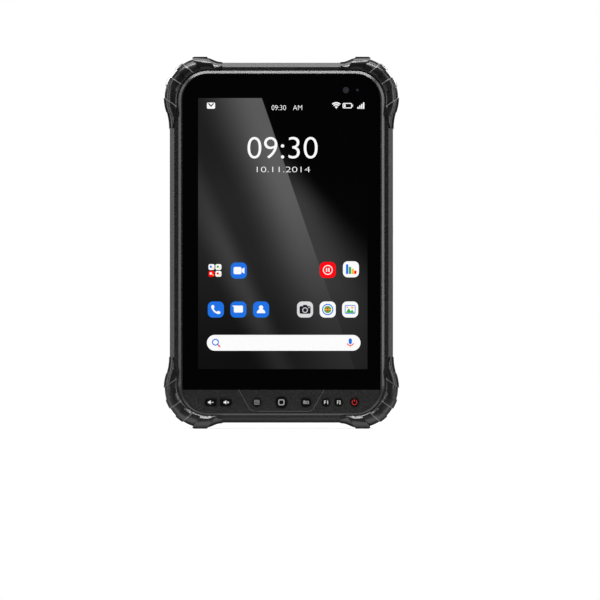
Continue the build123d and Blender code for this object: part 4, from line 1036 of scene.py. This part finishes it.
# %% [markdown]
# ## Patterns from rules
# Some details repeat by a rule: woven wires behind the speaker slots, ribs that give a fingertip its
# hold on the doors, and threads in the brass inserts.  Geometry Nodes fit that, because the rule is
# written once and its sizes are inputs.  `Rule` wraps one tree.  It ends by making instances real and
# giving them a material, and the result is kept as a plain mesh.

# %% Rule: a small wrapper for Geometry Nodes
class Rule:
    """One Geometry Nodes tree, built step by step."""

    def __init__(self, name, **sizes):
        self.name = name
        self.sizes = sizes
        self.tree = bpy.data.node_groups.new(name, "GeometryNodeTree")
        face = self.tree.interface
        face.new_socket("Geometry", in_out="OUTPUT", socket_type="NodeSocketGeometry")
        self.inputs = {}
        for label, value in sizes.items():
            kind = "NodeSocketInt" if isinstance(value, int) else "NodeSocketFloat"
            socket = face.new_socket(label, in_out="INPUT", socket_type=kind)
            self.inputs[label] = socket.identifier
        self.source = self.tree.nodes.new("NodeGroupInput")

    def size(self, label):
        return self.source.outputs[label]

    def step(self, kind, settings, inputs, output=0):
        made = self.tree.nodes.new(kind)
        for name, value in settings.items():
            setattr(made, name, value)
        for socket, value in inputs.items():
            for each in value if isinstance(value, list) else [value]:
                if isinstance(each, bpy.types.NodeSocket):
                    self.tree.links.new(each, made.inputs[socket])
                else:
                    made.inputs[socket].default_value = each
        return made.outputs[output]

    def math(self, operation, *values):
        return self.step("ShaderNodeMath", {"operation": operation}, dict(enumerate(values)))

    def vector(self, x=0.0, y=0.0, z=0.0):
        return self.step("ShaderNodeCombineXYZ", {}, {0: x, 1: y, 2: z})

    def wire(self, curve, radius, sides):
        """A round wire along a curve."""
        ring = self.ring(radius, sides)
        inputs = {"Curve": curve, "Profile Curve": ring, "Fill Caps": True}
        return self.step("GeometryNodeCurveToMesh", {}, inputs)

    def ring(self, radius, sides):
        inputs = {"Resolution": sides, "Radius": radius}
        return self.step("GeometryNodeCurvePrimitiveCircle", {}, inputs)

    def row(self, count, gap, start=(0.0, 0.0, 0.0)):
        """Points in a line."""
        inputs = {"Count": count, "Start Location": start, "Offset": gap}
        return self.step("GeometryNodeMeshLine", {}, inputs)

    def repeat(self, points, piece, turn=(0.0, 0.0, 0.0)):
        inputs = {"Points": points, "Instance": piece, "Rotation": turn}
        return self.step("GeometryNodeInstanceOnPoints", {}, inputs)

    def build(self, parts, material, body):
        """Ends the tree, runs it, and keeps its plain mesh as a piece on a body."""
        joined = self.step("GeometryNodeJoinGeometry", {}, {"Geometry": parts})
        real = self.step("GeometryNodeRealizeInstances", {}, {"Geometry": joined})
        painted = self.step("GeometryNodeSetMaterial", {}, {"Geometry": real, "Material": material})
        sink = self.tree.nodes.new("NodeGroupOutput")
        self.tree.links.new(painted, sink.inputs["Geometry"])
        piece = bpy.data.objects.new(self.name, bpy.data.meshes.new(self.name))
        bpy.context.scene.collection.objects.link(piece)
        modifier = piece.modifiers.new(self.name, "NODES")
        modifier.node_group = self.tree
        for label, value in self.sizes.items():
            modifier[self.inputs[label]] = value
        graph = bpy.context.evaluated_depsgraph_get()
        mesh = bpy.data.meshes.new_from_object(piece.evaluated_get(graph))
        piece.modifiers.remove(modifier)
        piece.data = mesh
        if not mesh.materials:
            mesh.materials.append(material)
        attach(piece, body)
        print(self.name, "faces:", len(mesh.polygons))
        return piece


# %% [markdown]
# ### Speaker mesh
# The real mesh is woven steel wire.  A pattern of dots on the CAD's plate would be quicker, but wires
# that cross look right from any side, so each one is a curve that waves over and under by a cosine.

# %% The size of the mesh
WEAVE_PITCH, WIRE_R, WIRE_SIDES = 0.55 * MM, 0.09 * MM, 5
mesh_low, mesh_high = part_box("speaker_mesh")
mesh_w = mesh_high.x - mesh_low.x
mesh_h = mesh_high.z - mesh_low.z
weave = Rule(
    "speaker_weave", wire_radius=WIRE_R, pitch=WEAVE_PITCH, width=mesh_w, height=mesh_h,
    columns=int(mesh_w / WEAVE_PITCH), rows=int(mesh_h / WEAVE_PITCH),
)
print("mesh, mm:", round(mesh_w / MM, 1), "x", round(mesh_h / MM, 1))


# %% One wire
def wavy_wire(rule, length, along_x, sign):
    """One wire that goes over and under those that cross it."""
    axis = "x" if along_x else "z"
    half = rule.math("MULTIPLY", length, 0.5)
    back = rule.math("MULTIPLY", length, -0.5)
    ends = {"Start": rule.vector(**{axis: back}), "End": rule.vector(**{axis: half})}
    line = rule.step("GeometryNodeCurvePrimitiveLine", {}, ends)
    steps = rule.math("MULTIPLY", rule.math("DIVIDE", length, rule.size("pitch")), 4.0)
    fine = rule.step("GeometryNodeResampleCurve", {}, {"Curve": line, "Count": steps})
    place = rule.step("GeometryNodeInputPosition", {}, {})
    split = rule.step("ShaderNodeSeparateXYZ", {}, {0: place}, 0 if along_x else 2)
    phase = rule.math("MULTIPLY", rule.math("DIVIDE", split, rule.size("pitch")), math.pi)
    height = rule.math("MULTIPLY", rule.size("wire_radius"), sign)
    wave = rule.math("MULTIPLY", rule.math("COSINE", phase), height)
    return rule.step("GeometryNodeSetPosition", {}, {"Geometry": fine, "Offset": rule.vector(y=wave)})


# %% Woven wires behind the speaker slots
middle_of_mesh = (mesh_low + mesh_high) / 2
woven = []
for along_x, count, length in ((True, "rows", "width"), (False, "columns", "height")):
    for odd in (0, 1):
        sign = (1 if odd else -1) * (1 if along_x else -1)
        path = wavy_wire(weave, weave.size(length), along_x, sign)
        strand = weave.wire(path, weave.size("wire_radius"), WIRE_SIDES)
        number = weave.math("MULTIPLY", weave.size(count), 0.5)
        gap = weave.math("MULTIPLY", weave.size("pitch"), 2.0)
        spare = weave.math("SUBTRACT", weave.size(count), 1.0 + 2.0 * (1 - odd))
        first = weave.math("MULTIPLY", weave.math("MULTIPLY", spare, -0.5), weave.size("pitch"))
        axis = "z" if along_x else "x"
        points = weave.row(number, weave.vector(**{axis: gap}), weave.vector(**{axis: first}))
        woven.append(weave.repeat(points, strand))
seated = weave.step("GeometryNodeTransform", {}, {
    "Geometry": weave.step("GeometryNodeJoinGeometry", {}, {"Geometry": woven}),
    "Translation": tuple(middle_of_mesh),
})
speaker_weave = weave.build([seated], zinc_steel, "tablet")
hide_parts("speaker_mesh")

# %% [markdown]
# ### Door grips
# A gloved fingertip needs something to push on, so each door has a few raised ribs.  One rib is a short
# round wire, half sunk in the door's face, and the rule stacks copies of it.

# %% Fingertip ribs on the doors
RIB_SIDES, TOP_RIB_DOWN = 10, 9.5 * MM
for door, side in (("port_door", 1), ("card_door", -1)):
    low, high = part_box(door)
    face_x = high.x if side > 0 else low.x
    grip = Rule(f"{door}_grip", rib_radius=0.35 * MM, rib_length=3.4 * MM, ribs=5, pitch=1.5 * MM)
    reach = grip.math("MULTIPLY", grip.size("rib_length"), 0.5)
    line = grip.step("GeometryNodeCurvePrimitiveLine", {}, {
        "Start": grip.vector(y=grip.math("MULTIPLY", reach, -1.0)), "End": grip.vector(y=reach),
    })
    rib = grip.wire(line, grip.size("rib_radius"), RIB_SIDES)
    column = grip.row(grip.size("ribs"), grip.vector(z=grip.size("pitch")),
                      (face_x, (low.y + high.y) / 2, high.z - TOP_RIB_DOWN))
    grip.build([grip.repeat(column, rib)], door_rubber, door)

# %% [markdown]
# ### Threads
# A thread is a helix, but in so narrow a bore only its crests show.  A stack of thin rings at the
# thread's pitch looks the same, closes cleanly and needs few faces.

# %% Threads in the brass inserts
insert_low, insert_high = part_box("bracket_inserts")
INSERT_R, BORE_R, THREAD_START = 2.8 * MM, 1.65 * MM, 0.4 * MM
BORE_SIDES, CREST_SIDES = 24, 5
threads = Rule("insert_threads", bore=BORE_R, thread=0.16 * MM, pitch=0.5 * MM, turns=6)
crest = threads.wire(threads.ring(threads.size("bore"), BORE_SIDES), threads.size("thread"), CREST_SIDES)
inward = threads.math("MULTIPLY", threads.size("pitch"), -1.0)
deep = threads.row(threads.size("turns"), threads.vector(y=inward))
stacked = threads.repeat(deep, crest, (math.radians(90), 0.0, 0.0))
one_bore = threads.step("GeometryNodeRealizeInstances", {}, {"Geometry": stacked})
bores = []
for x in (insert_low.x + INSERT_R, insert_high.x - INSERT_R):
    for z in (insert_low.z + INSERT_R, insert_high.z - INSERT_R):
        bores.append(threads.step("GeometryNodeTransform", {}, {
            "Geometry": one_bore, "Translation": (x, insert_high.y - THREAD_START, z),
        }))
threads.build(bores, turned_brass, "tablet")

# %% [markdown]
# ## Last checks
# Shown CAD nodes that kept their bare colour are listed, and both boxes are written down, with how far
# the visual model grows past the CAD model's box.

# %% Nodes without a finish
print("shown CAD nodes without a finish:",
      [name for name, node in nodes.items() if not node.hide_render and name not in dressed])

# %% Sizes
new_low, new_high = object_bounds()
for label, growth in (("below", cad_low - new_low), ("above", new_high - cad_high)):
    print("grown, mm,", label, [round(v / MM, 2) for v in growth])
